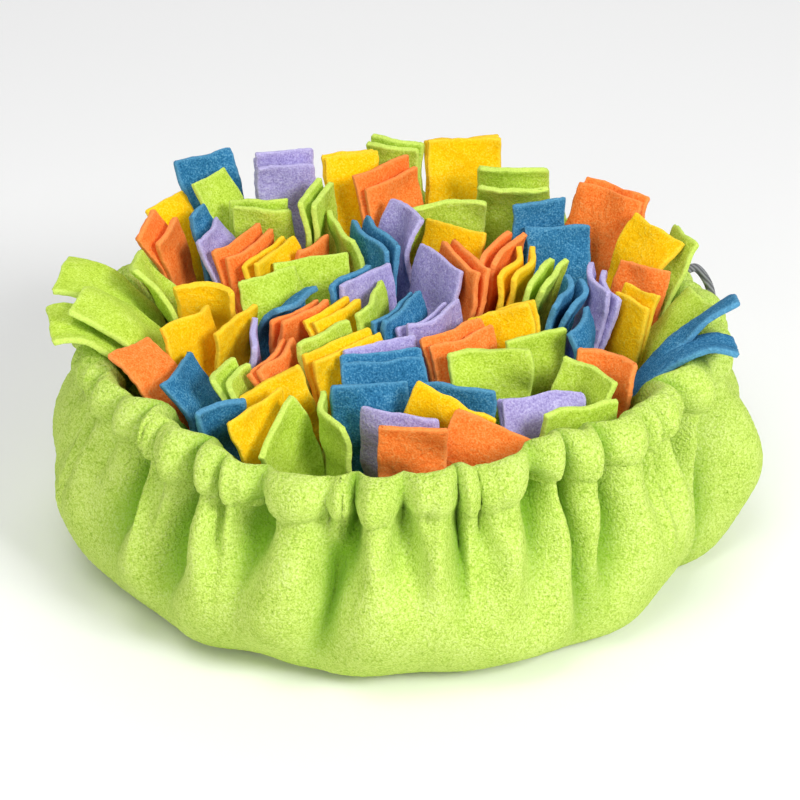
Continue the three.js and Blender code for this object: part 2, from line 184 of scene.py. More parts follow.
class NodeDesk:
    """Lays out the nodes of one material."""

    def __init__(self, material: bpy.types.Material) -> None:
        """Opens the material's node tree.

        Args:
            material: The material to lay out.
        """
        material.use_nodes = True
        self.nodes = material.node_tree.nodes
        self.links = material.node_tree.links
        self.shader = self.nodes["Principled BSDF"]
        self.place = self.nodes.new("ShaderNodeTexCoord").outputs["Object"]

    def noise(self, size: float, detail: float) -> Socket:
        """Noise of one grain size.

        Args:
            size: Grain size in millimetres.
            detail: Octaves of finer grain.

        Returns:
            The noise's value, about 0.5 on average.
        """
        node = self.nodes.new("ShaderNodeTexNoise")
        node.inputs["Scale"].default_value = 1.0 / (size * MM)
        node.inputs["Detail"].default_value = detail
        self.links.new(self.place, node.inputs["Vector"])
        return node.outputs["Fac"]

    def nubs(self, size: float) -> Socket:
        """Round nubs of pile.

        Args:
            size: Size of a nub in millimetres.

        Returns:
            Distance from the nub's middle, about 0.45 on average.
        """
        node = self.nodes.new("ShaderNodeTexVoronoi")
        node.inputs["Scale"].default_value = 1.0 / (size * MM)
        self.links.new(self.place, node.inputs["Vector"])
        return node.outputs["Distance"]

    def weighed(self, value: Socket, weight: float, start: Socket | float) -> Socket:
        """A value times a weight, added to a start.

        Args:
            value: The value.
            weight: Its weight.
            start: What it is added to.

        Returns:
            The sum.
        """
        node = self.nodes.new("ShaderNodeMath")
        node.operation = "MULTIPLY_ADD"
        self.links.new(value, node.inputs[0])
        node.inputs[1].default_value = weight
        if isinstance(start, float):
            node.inputs[2].default_value = start
        else:
            self.links.new(start, node.inputs[2])
        return node.outputs["Value"]

    def ramp(self, value: Socket, colours: Sequence[Colour]) -> Socket:
        """Colour by a value from 0 to 1.

        Args:
            value: The value.
            colours: Colours at even steps.

        Returns:
            The colour.
        """
        node = self.nodes.new("ShaderNodeValToRGB")
        stops = node.color_ramp.elements
        for _ in colours[2:]:
            stops.new(0.5)
        for number, colour in enumerate(colours):
            stops[number].position = number / (len(colours) - 1)
            stops[number].color = (*colour, 1.0)
        self.links.new(value, node.inputs["Fac"])
        return node.outputs["Color"]

    def toward(self, colour: Socket, mark: str, other: Colour) -> Socket:
        """A colour mixed towards another by a mark of the mesh.

        Args:
            colour: The colour.
            mark: Name of the mesh's mark.
            other: The colour where the mark is 1.

        Returns:
            The mixed colour.
        """
        share = self.nodes.new("ShaderNodeAttribute")
        share.attribute_name = mark
        node = self.nodes.new("ShaderNodeMix")
        node.data_type = "RGBA"
        node.inputs["B"].default_value = (*other, 1.0)
        self.links.new(share.outputs["Fac"], node.inputs["Factor"])
        self.links.new(colour, node.inputs["A"])
        return node.outputs["Result"]

    def bump(self, value: Socket, height: float, under: Socket | None = None) -> Socket:
        """Fine relief.

        Args:
            value: Height from 0 to 1.
            height: Height of 1 in millimetres, below zero where the value falls.
            under: Relief that it lies on.

        Returns:
            The normal.
        """
        node = self.nodes.new("ShaderNodeBump")
        node.invert = height < 0
        node.inputs["Strength"].default_value = 1.0
        node.inputs["Distance"].default_value = abs(height) * MM
        self.links.new(value, node.inputs["Height"])
        if under is not None:
            self.links.new(under, node.inputs["Normal"])
        return node.outputs["Normal"]

    def settle(self, values: dict[str, float | tuple[float, ...]]) -> None:
        """Sets sockets of the shader to constant values.

        Args:
            values: Value of each socket, by the socket's name.
        """
        for name, value in values.items():
            self.shader.inputs[name].default_value = value


@dataclass(frozen=True)
class FleeceFinish:
    """Finish of one fleece: its colour in the pile's hollow, on its body, on its tips, the painted shade deep
    in a fold and the painted highlight along cut edges.

    Sizes and heights are in millimetres. The shares say how far the colour goes with grain, clumps and drift.
    """

    name: str
    hollow: Colour
    body: Colour
    tip: Colour
    # Colour of the painted shade deep in a fold, if any.
    fold: Colour | None = None
    pile: Pile = Pile.BRUSHED
    grain_size: float = 0.8
    clump_size: float = 2.6
    drift_size: float = 14.0
    grain_height: float = 0.3
    clump_height: float = 0.5
    grain_share: float = 1.9
    clump_share: float = 0.6
    drift_share: float = 0.4
    start_level: float = -1.0
    grain_detail: float = 3.0
    soft_detail: float = 2.0
    roughness: float = 0.97
    gloss: float = 0.1
    sheen: float = 0.12
    sheen_roughness: float = 0.5

    def material(self) -> bpy.types.Material:
        """The finish's material, made the first time it is asked for.

        Returns:
            A material whose colour and relief come from its nodes.
        """
        found = bpy.data.materials.get(f"{self.name}_pile")
        if found is not None:
            return found
        material = bpy.data.materials.new(f"{self.name}_pile")
        desk = NodeDesk(material)
        desk.settle({
            "Roughness": self.roughness,
            "Specular IOR Level": self.gloss,
            "Sheen Weight": self.sheen,
            "Sheen Roughness": self.sheen_roughness,
            "Sheen Tint": (*self.tip, 1.0),
        })
        nubbly = self.pile is Pile.NUBBLY
        grain = desk.noise(self.grain_size, self.grain_detail)
        drift = desk.noise(self.drift_size, self.soft_detail)
        clump = desk.nubs(self.clump_size) if nubbly else desk.noise(self.clump_size, self.soft_detail)
        level = desk.weighed(clump, self.clump_share, self.start_level)
        level = desk.weighed(drift, self.drift_share, level)
        level = desk.weighed(grain, self.grain_share, level)
        colour = desk.ramp(level, (self.hollow, self.body, self.tip))
        # Painted shade: deep in a fold the colour is mixed towards the fold colour.
        if self.fold is not None:
            colour = desk.toward(colour, PAINTED_FOLD_SHADE, self.fold)
        # Painted highlight: along the cut edges the colour is mixed towards the tip colour.
        desk.links.new(desk.toward(colour, PAINTED_EDGE_HIGHLIGHT, self.tip), desk.shader.inputs["Base Color"])
        relief = desk.bump(clump, -self.clump_height if nubbly else self.clump_height)
        desk.links.new(desk.bump(grain, self.grain_height, relief), desk.shader.inputs["Normal"])
        return material


BAG_FLEECE = FleeceFinish(
    "bag_fleece",
    hollow=linear(142, 184, 44),
    body=linear(200, 226, 100),
    tip=linear(228, 246, 152),
    # Colour of the painted shade in the bag's fold valleys.
    fold=linear(116, 168, 24),
    pile=Pile.NUBBLY,
    grain_size=0.7,
    clump_size=1.5,
    grain_height=0.75,
    grain_share=1.7,
    clump_share=-0.45,
    start_level=-0.3,
)
TAB_FLEECE: dict[str, FleeceFinish] = {
    "green": FleeceFinish(
        "green_fleece", hollow=linear(156, 190, 38), body=linear(196, 224, 78), tip=linear(220, 242, 128)
    ),
    "blue": FleeceFinish(
        "blue_fleece", hollow=linear(26, 88, 128), body=linear(54, 124, 168), tip=linear(110, 172, 204)
    ),
    "orange": FleeceFinish(
        "orange_fleece", hollow=linear(242, 104, 32), body=linear(255, 136, 58), tip=linear(255, 168, 98)
    ),
    "yellow": FleeceFinish(
        "yellow_fleece", hollow=linear(246, 178, 0), body=linear(255, 203, 12), tip=linear(255, 222, 78)
    ),
    "purple": FleeceFinish(
        "purple_fleece", hollow=linear(136, 124, 186), body=linear(172, 162, 216), tip=linear(206, 200, 236)
    ),
}


@dataclass(frozen=True)
class CordFinish:
    """Finish of the grey braided drawcord. Sizes are in millimetres."""

    name: str = "drawcord_braid"
    slot: str = "cord"
    dark: Colour = linear(84, 86, 90)
    pale: Colour = linear(142, 144, 148)
    braid_size: float = 1.4
    braid_height: float = 0.3
    bands: float = 0.3
    unevenness: float = 1.5
    roughness: float = 0.75

    def material(self) -> bpy.types.Material:
        """The braid's material, made the first time it is asked for.

        Returns:
            A material with a slanting braid in its colour and relief.
        """
        found = bpy.data.materials.get(self.name)
        if found is not None:
            return found
        material = bpy.data.materials.new(self.name)
        desk = NodeDesk(material)
        desk.settle({"Roughness": self.roughness})
        braid = desk.nodes.new("ShaderNodeTexWave")
        braid.bands_direction = "DIAGONAL"
        braid.inputs["Scale"].default_value = self.bands / (self.braid_size * MM)
        braid.inputs["Distortion"].default_value = self.unevenness
        desk.links.new(desk.place, braid.inputs["Vector"])
        colour = desk.ramp(braid.outputs["Fac"], (self.dark, self.pale))
        desk.links.new(colour, desk.shader.inputs["Base Color"])
        desk.links.new(desk.bump(braid.outputs["Fac"], self.braid_height), desk.shader.inputs["Normal"])
        return material


class ProfileRow(NamedTuple):
    """One ring of the bag's wall, with its share of the folds, of the gathers and of the rim's shape."""

    radius: float
    height: float
    fold: float
    pleat: float
    mouth: float


class WallFold(NamedTuple):
    """A fold of the wall: angle from the front at its top and at its foot, depth, spread and way down."""

    top: float
    foot: float
    depth: float
    spread: float
    reach: float


class MouthRow(NamedTuple):
    """Shape of the mouth and the belly at an angle from the front."""

    turn: float
    rim: float
    lift: float
    belly: float


class Wave(NamedTuple):
    """One sine of the gathers' unevenness."""

    size: float
    beat: float
    start: float


BASE_ROWS = (ProfileRow(0, 0, 0, 0, 0), ProfileRow(128, 0, 0.1, 0, 0))
WALL_ROWS = (
    ProfileRow(128, 0, 0.1, 0, 0),
    ProfileRow(142, 5, 0.3, 0, 0),
    ProfileRow(152, 15, 0.6, 0, 0),
    ProfileRow(158, 28, 0.8, 0, 0.1),
    ProfileRow(160, 43, 0.95, 0.12, 0.25),
    ProfileRow(158, 58, 1, 0.32, 0.5),
    ProfileRow(153, 71, 1, 0.66, 0.8),
    ProfileRow(147.5, 80, 0.9, 0.9, 1),
    ProfileRow(145.5, 85, 0.7, 1, 1),
)
CASING_ROWS = (
    ProfileRow(145.5, 85, 0.7, 1, 1),
    ProfileRow(149.5, 90, 0.4, 1, 1),
    ProfileRow(150.5, 97, 0.3, 0.9, 1),
    ProfileRow(147.5, 103, 0.3, 0.8, 1),
    ProfileRow(142.5, 105, 0.3, 0.7, 1),
    ProfileRow(138, 101, 0.3, 0.7, 1),
    ProfileRow(137, 93, 0.4, 0.9, 1),
    ProfileRow(141, 84.5, 0.7, 1, 1),
)
FLOOR_ROWS = (ProfileRow(127, 3, 0.1, 0, 0), ProfileRow(0, 3, 0, 0, 0))

WALL_FOLDS = (
    WallFold(-170, -173, 8, 6.5, 78),
    WallFold(-147, -151, 6.5, 6, 60),
    WallFold(-124, -120, 9, 6.5, 82),
    WallFold(-101, -104, 7.5, 6, 70),
    WallFold(-76, -79, 6.5, 6, 64),
    WallFold(-51, -54, 8, 5.5, 62),
    WallFold(-33, -40, 9, 4.6, 72),
    WallFold(-20, -25, 7.5, 4.4, 58),
    WallFold(-8, -15, 9, 4.4, 84),
    WallFold(-1, 2, 5, 3.6, 42),
    WallFold(8, 10, 6.5, 4.4, 54),
    WallFold(20, 19, 7, 4.4, 60),
    WallFold(28, 30, 9, 4, 82),
    WallFold(38, 36, 7.5, 4.4, 64),
    WallFold(53, 53, 8, 5, 56),
    WallFold(66, 62, 10, 6, 84),
    WallFold(88, 91, 7.5, 6.5, 74),
    WallFold(112, 108, 8, 6.5, 66),
    WallFold(135, 138, 7, 6, 78),
    WallFold(158, 155, 8, 6.5, 62),
)
MOUTH = (
    MouthRow(-150, -8, -3, 0),
    MouthRow(-110, -10, -4, 1),
    MouthRow(-75, -6, -1, 0),
    MouthRow(-48, -2, -1, 1),
    MouthRow(-22, 2, -5, 0),
    MouthRow(3, 2, -2, -2),
    MouthRow(30, -8, 0, -1),
    MouthRow(55, -9, 0, -9),
    MouthRow(76, -5, -1, 1),
    MouthRow(110, -10, -8, 0),
    MouthRow(160, -8, -4, 0),
)
SLIP_WAVES = (Wave(1, 2.39, 0), Wave(0.6, 1.31, 1))
STRENGTH_WAVES = (Wave(0.3, 1.7, 0), Wave(0.2, 0.71, 2))
SPLIT_WAVES = (Wave(0.16, 2.1, 0),)
SPLIT_LEAN_WAVES = (Wave(0.2, 1.3, 2),)
CREASE_WAVES = (Wave(0.26, 3.7, 0.6),)
FOOT_WAVES = (Wave(1, 13, 3.73), Wave(0.5, 5, 0.4), Wave(0.4, 8, 2))
TWIST_WAVES = (Wave(0.55, 7, 0), Wave(0.45, 3, 1.2))
SWAY_WAVES = (Wave(1, 20, 0), Wave(0.7, 13, 2))


def wave_sum(waves: Sequence[Wave], place: np.ndarray, unit: float = 1.0) -> np.ndarray:
    """Sum of the sines at each place, with the beats counted in a unit."""
    return sum(w.size * np.sin(w.beat * unit * place + w.start) for w in waves)


def apart(turn: np.ndarray, other: np.ndarray | float) -> np.ndarray:
    """Angle from another one, between -180 and 180 degrees."""
    return (turn - other + 540.0) % 360.0 - 180.0


def flow(rows: Sequence[ProfileRow], count: int) -> np.ndarray:
    """Rings along a smooth line through the profile's rows.

    Args:
        rows: Rows that the line goes through.
        count: How many rings to give, the first and last row among them.

    Returns:
        One row for each ring, with the columns of ProfileRow.
    """
    table = np.array(rows, float)
    along = np.concatenate([[0.0], np.cumsum(np.linalg.norm(np.diff(table[:, :2], axis=0), axis=1))])
    slopes = np.gradient(table, along, axis=0)
    at = np.linspace(0.0, along[-1], count)
    seg = np.clip(np.searchsorted(along, at, side="right") - 1, 0, len(rows) - 2)
    span = (along[seg + 1] - along[seg])[:, None]
    t = ((at - along[seg])[:, None]) / span
    return (
        (2 * t**3 - 3 * t**2 + 1) * table[seg]
        + (t**3 - 2 * t**2 + t) * span * slopes[seg]
        + (-2 * t**3 + 3 * t**2) * table[seg + 1]
        + (t**3 - t**2) * span * slopes[seg + 1]
    )


class BagRings(NamedTuple):
    """Rings of base, wall, casing and floor, with each ring's share of casing, twist and pile."""

    rows: np.ndarray
    casing: np.ndarray
    twist: np.ndarray
    pile: np.ndarray


class BagSkin(NamedTuple):
    """Closed skin of the bag: corners in millimetres, faces, and each corner's share of the painted shade in
    the folds.
    """

    corners: np.ndarray
    faces: list[tuple[int, ...]]
    shade_in_folds: np.ndarray


@dataclass
class FleeceBag:
    """The gathered bag with its casing.

    Sizes are in millimetres and degrees, and the width of the cut cloth is in metres.
    """

    finish: FleeceFinish = BAG_FLEECE
    cut_across: float = 0.56
    # Columns and rings of the skin
    columns: int = 650
    base_rings: int = 8
    wall_rings: int = 72
    casing_rings: int = 36
    floor_rings: int = 4
    # Gathers of the casing
    stitch_height: float = 85.0
    pleats: int = 50
    pleat_depth: float = 6.4
    pleat_slip: float = 0.22
    pleat_strength: float = 0.75
    strength_least: float = 0.35
    strength_gain: float = 0.85
    puff_reach: float = 1.5
    puff_round: float = 0.8
    split_place: float = 0.48
    split_still: float = 0.4
    crease_depth: float = 0.32
    crease_width: float = 0.085
    crease_sharpness: float = 1.4
    soften_over: float = 22.0
    wobble: float = 1.5
    casing_twist: float = 0.22
    twist_most: float = 0.5
    # Tube of the casing and its stitch line
    core: tuple[float, float] = (143.5, 95.0)
    pinch: float = 0.23
    tube_rise: float = 7.0
    tube_ease: float = 0.35
    tuck: float = 1.0
    tuck_height: float = 2.2
    # Main folds of the wall
    fold_hold: float = 0.3
    fold_sharpness: float = 1.7
    fold_gain: float = 1.95
    fold_spread: float = 0.64
    fold_open: tuple[float, float] = (0.6, 0.9)
    fold_follow: float = 0.5
    fold_push: float = 0.4
    fold_steep: float = 0.42
    fold_slope: float = 1.1
    side_gain: float = 0.42
    side_rest: float = 0.65
    # Small folds between the main ones
    small_seed: int = 23
    small_drift: float = 5.0
    small_depth: tuple[float, float] = (4.0, 9.0)
    small_spread: tuple[float, float] = (1.5, 2.4)
    small_reach: tuple[float, float] = (34.0, 66.0)
    # Painted shade: where the cloth counts as deep in a fold, and how strongly it is darkened there
    shade_span: int = 22
    shade_depth: float = 10.5
    shade_most: float = 0.8
    # Foot of the wall
    foot_bulge: float = 1.7
    foot_height: float = 46.0
    foot_radius: float = 110.0
    foot_onset: float = 0.1
    # Pile and slack
    pile_onset: float = 6.0
    nub_seed: int = 11
    nub_height: float = 0.1
    nub_size: float = 3.0
    nub_sharpness: float = 0.8
    slack_seed: int = 5
    slack: float = 1.0
    slack_size: float = 46.0
    # Inner face of the wall
    lining_gap: float = 3.2
    lining_foot: float = 17.0
    lining_step: int = 2

    def mouth_value(self, turn: np.ndarray, column: str) -> np.ndarray:
        """A column of the mouth's table at each angle.

        Args:
            turn: Angles from the front, in degrees.
            column: Name of the column.

        Returns:
            Its value, eased from row to row round the rim.
        """
        values = np.zeros_like(turn)
        for here, after in zip(MOUTH, MOUTH[1:] + MOUTH[:1]):
            span = (after.turn - here.turn) % 360.0
            into = (turn - here.turn) % 360.0
            start, end = getattr(here, column), getattr(after, column)
            values = np.where(into < span, start + (end - start) * smooth(into / span), values)
        return values

    def turns(self, place: np.ndarray) -> np.ndarray:
        """Angle of each place from the front, in radians. Places are counted in gathers of uneven width."""
        closing = np.minimum(1.0, np.minimum(place, self.pleats - place))
        return (2 * math.pi / self.pleats) * (place + self.pleat_slip * wave_sum(SLIP_WAVES, place) * closing)

    def folds(self) -> list[WallFold]:
        """The wall's folds, each from a crease of the casing: the main ones, and small ones between them.

        Returns:
            The folds, narrower and deeper than the solid's.
        """
        creases = np.degrees(self.turns(np.arange(self.pleats, dtype=float)))
        rng = np.random.default_rng(self.small_seed)
        taken = set()
        folds = []
        for fold in WALL_FOLDS:
            nearest = int(np.argmin(np.abs(apart(creases, fold.top))))
            taken.add(nearest)
            shift = apart(creases[nearest], fold.top)
            sideways = abs(math.sin(math.radians(fold.top)))
            deep = self.fold_gain * fold.depth * (1.0 + self.side_gain * sideways)
            spread = self.fold_spread * fold.spread
            foot = fold.foot + self.fold_follow * shift
            folds.append(WallFold(fold.top + shift, foot, deep, spread, fold.reach))
        for number in sorted(set(range(self.pleats)) - taken):
            foot = creases[number] + rng.uniform(-self.small_drift, self.small_drift)
            deep = rng.uniform(*self.small_depth)
            spread = rng.uniform(*self.small_spread)
            reach = rng.uniform(*self.small_reach)
            deep *= 1.0 - self.side_rest * abs(math.sin(math.radians(creases[number])))
            folds.append(WallFold(creases[number], foot, deep, spread, reach))
        return folds

    def fold_depth(self, turn: np.ndarray, height: np.ndarray) -> np.ndarray:
        """Depth of the wall's folds, which are steep towards the front and slope away from it.

        Args:
            turn: Angles from the front in degrees, one for each column.
            height: Heights, one for each ring.

        Returns:
            Depths, ring by column.
        """
        down = np.maximum(0.0, self.stitch_height - height)[:, None]
        depth = np.zeros((len(height), len(turn)))
        narrow, widen = self.fold_open
        for fold in self.folds():
            along = np.minimum(1.0, down / fold.reach)
            away = apart(turn[None, :], fold.top + (fold.foot - fold.top) * along)
            lean = -math.sin(math.radians(fold.top))
            steep, slope = 1.0 - self.fold_steep * abs(lean), 1.0 + self.fold_slope * abs(lean)
            spread = fold.spread * (narrow + widen * along) * np.where(away * lean > 0, steep, slope)
            fade = 1.0 - smooth(down / fold.reach - self.fold_hold)
            depth += fold.depth * fade * np.exp(-((np.abs(away) / spread) ** self.fold_sharpness))
        return depth - self.fold_push * depth.mean(axis=1, keepdims=True)

    def gathers(self, place: np.ndarray, twist: np.ndarray, height: np.ndarray) -> np.ndarray:
        """Outward reach of the casing's gathers, sharp at the casing and soft further down the wall.

        Args:
            place: Place of each column, counted in gathers.
            twist: Share of the casing's twist, one for each ring.
            height: Height of each ring.

        Returns:
            Reach from about -1 in a crease to 0.6 on a puff, ring by column.
        """
        twist = twist[:, None]
        lean = wave_sum(TWIST_WAVES, place, 2 * math.pi / self.pleats)
        phase = place[None, :] + self.casing_twist * lean[None, :] * twist
        number = np.floor(phase)
        part = phase - number
        number = number % self.pleats
        here = self.pleat_strength + wave_sum(STRENGTH_WAVES, number)
        after = self.pleat_strength + wave_sum(STRENGTH_WAVES, (number + 1) % self.pleats)
        strength = self.strength_least + self.strength_gain * (here + (after - here) * smooth(part))
        softness = smooth((self.stitch_height - height) / self.soften_over)[:, None]
        crest = -1.0 + self.puff_reach * np.abs(np.sin(math.pi * part)) ** (self.puff_round + softness)
        split = self.split_place + wave_sum(SPLIT_WAVES, number)
        split = split + wave_sum(SPLIT_LEAN_WAVES, number) * (twist - self.split_still)
        second = self.crease_depth + wave_sum(CREASE_WAVES, number)
        groove = np.exp(-(np.abs(part - split) / self.crease_width) ** self.crease_sharpness)
        return strength * (crest - second * (1 - softness) * groove)

    def shade_in_folds(self, reach: np.ndarray) -> np.ndarray:
        """How much painted shade each corner gets: how far it lies in a fold.

        Args:
            reach: Reach of the corners from the bag's axis, ring by column.

        Returns:
            Shares of painted shade, from 0 on a ridge to 1 deep in a fold.
        """
        span = range(-self.shade_span, self.shade_span + 1)
        around = sum(np.roll(reach, step, axis=1) for step in span) / len(span)
        return self.shade_most * smooth((around - reach) / self.shade_depth)

    def profile(self) -> BagRings:
        """The bag's rings before they are folded and gathered.

        Returns:
            Rings from the base up the wall, over the casing and down to the floor.
        """
        parts = [
            flow(BASE_ROWS, self.base_rings)[1:],
            flow(WALL_ROWS, self.wall_rings)[1:],
            flow(CASING_ROWS, self.casing_rings)[1:],
            flow(FLOOR_ROWS, self.floor_rings)[:-1],
        ]
        counts = [len(part) for part in parts]
        casing = np.repeat([0.0, 0.0, 1.0, 0.0], counts)
        twist = np.zeros(len(casing))
        twist[casing > 0] = self.twist_most * np.sin(np.linspace(0, math.pi, counts[2]))
        pile = np.repeat([0.0, 1.0, 1.0, 0.0], counts)
        pile[counts[0] : counts[0] + counts[1]] = smooth(np.linspace(0, self.pile_onset, counts[1]))
        return BagRings(np.concatenate(parts), casing, twist, pile)

    def grid(self) -> tuple[np.ndarray, np.ndarray, np.ndarray]:
        """Corners of the folded and gathered bag, ring by column.

        Returns:
            The corners in millimetres, each ring's share of the pile and each corner's share of the painted
            fold shade.
        """
        rings = self.profile()
        casing = rings.casing[:, None]
        place = np.arange(self.columns) * self.pleats / self.columns
        turn = self.turns(place)
        angle = np.degrees(turn)
        radius, height, fold, pleat, mouth = (column[:, None] for column in rings.rows.T)
        crest = self.gathers(place, rings.twist, rings.rows[:, 1])
        tube = casing * smooth((height - self.stitch_height) / self.tube_rise)
        pinch = 1.0 + self.pinch * crest * tube
        core_radius, core_height = self.core
        wide = core_radius + (radius - core_radius) * pinch
        high = core_height + (height - core_height) * pinch
        belly = self.mouth_value(angle, "belly")[None, :] * (1 - mouth)
        rim = self.mouth_value(angle, "rim")[None, :] * mouth
        folded = self.fold_depth(angle, rings.rows[:, 1]) * fold
        tuck = self.tuck * casing * np.exp(-(((height - self.stitch_height) / self.tuck_height) ** 2))
        depth = self.pleat_depth * (1 - self.tube_ease * tube)
        lumps = wave_sum(FOOT_WAVES, turn)[None, :]
        foot = self.foot_bulge * lumps * (1 - smooth(height / self.foot_height))
        reach = wide + belly + rim - folded - tuck + depth * crest * pleat
        reach = reach + foot * smooth(wide / self.foot_radius - self.foot_onset)
        sway = self.wobble * wave_sum(SWAY_WAVES, place, 2 * math.pi / self.pleats)[None, :] * pleat
        rise = high + (self.mouth_value(angle, "lift")[None, :] + sway) * mouth
        points = np.stack([reach * np.sin(turn), -reach * np.cos(turn), rise], axis=-1)
        return points, rings.pile, self.shade_in_folds(reach) * rings.pile[:, None]

    def line(self, points: np.ndarray, shade_in_folds: np.ndarray) -> tuple[np.ndarray, np.ndarray]:
        """Adds the inner face of the wall, which follows the outer one's folds.

        Args:
            points: Corners of base, wall, casing and floor, ring by column.
            shade_in_folds: Each corner's share of the painted fold shade.

        Returns:
            The corners and shares with the inner face's rings put in.
        """
        # Base and wall each leave out their first ring.
        last_wall = (self.base_rings - 1) + (self.wall_rings - 1) - 1
        after_casing = last_wall + self.casing_rings
        rings = np.arange(last_wall - 1, self.base_rings, -self.lining_step)
        rings = rings[points[rings, 0, 2] > self.lining_foot]
        inner = points[rings].copy()
        reach = np.linalg.norm(inner[..., :2], axis=-1, keepdims=True)
        inner[..., :2] *= 1.0 - self.lining_gap / reach
        points = np.concatenate([points[:after_casing], inner, points[after_casing:]])
        return points, np.concatenate([shade_in_folds[:after_casing], shade_in_folds[rings], shade_in_folds[after_casing:]])

    def raise_pile(self, points: np.ndarray, pile: np.ndarray) -> np.ndarray:
        """Moves the corners out and in along the cloth's own normal: slack cloth and nubs of pile.

        Args:
            points: Corners, ring by column.
            pile: Share of the pile of each ring.

        Returns:
            The moved corners.
        """
        down = np.gradient(points, axis=0)
        sideways = np.roll(points, -1, axis=1) - np.roll(points, 1, axis=1)
        normal = np.cross(sideways, down)
        normal /= np.maximum(np.linalg.norm(normal, axis=-1, keepdims=True), TINY)
        lump = ripple(points, self.nub_size, self.nub_seed)
        lump = np.sign(lump) * np.abs(lump) ** self.nub_sharpness
        drape = ripple(points, self.slack_size, self.slack_seed)
        move = (self.nub_height * lump + self.slack * drape) * pile[:, None]
        moved = points + normal * move[..., None]
        moved[..., 2] = np.maximum(moved[..., 2], 0.0)
        return moved

    def surface(self) -> BagSkin:
        """The bag's closed skin.

        Returns:
            Its corners, its faces and each corner's share of the painted fold shade.
        """
        points, pile, shade_in_folds = self.grid()
        points, shade_in_folds = self.line(self.raise_pile(points, pile), shade_in_folds)
        rings, columns = points.shape[:2]
        corners = np.concatenate([points.reshape(-1, 3), [[0, 0, 0], [0, 0, FLOOR_ROWS[1].height]]])
        bottom, top = rings * columns, rings * columns + 1
        last = (rings - 1) * columns
        faces: list[tuple[int, ...]] = []
        for i in range(columns):
            j = (i + 1) % columns
            faces.append((bottom, j, i))
            faces.append((top, last + i, last + j))
        for ring in range(rings - 1):
            faces.extend(band(ring * columns, (ring + 1) * columns, columns))
        return BagSkin(corners, faces, np.concatenate([shade_in_folds.reshape(-1), [0.0, 0.0]]))

    def build(self, skin: BagSkin) -> bpy.types.Object:
        """Args:
            skin: The bag's closed skin.

        Returns:
            The bag's object.
        """
        # Painted shade in the bag's fold valleys; no painted highlight on its edges.
        marks = {PAINTED_EDGE_HIGHLIGHT: np.zeros(len(skin.corners)), PAINTED_FOLD_SHADE: skin.shade_in_folds}
        bag = mesh_object("fleece_bag", skin.corners, skin.faces, self.finish.material(), marks)
        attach(bag, "root")
        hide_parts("bag")
        return bag


class TabGroup(NamedTuple):
    """Tabs of one tuft that stand together. Sizes are in millimetres, angles in degrees.

    The place is the middle of the tip edge. heading is the edge's direction, lean the tabs' lean from
    upright, fan the change of lean from tab to tab and tilt the slope of the tip edge. cup is the arc
    across the width, curl the arc along the tip and twist the turn of the tip about the tab's length.
    """

    tuft: str
    count: int
    x: float
    y: float
    z: float
    heading: float
    lean: float
    fan: float
    tilt: float
    width: float
    cup: float
    curl: float
    twist: float = 0.0


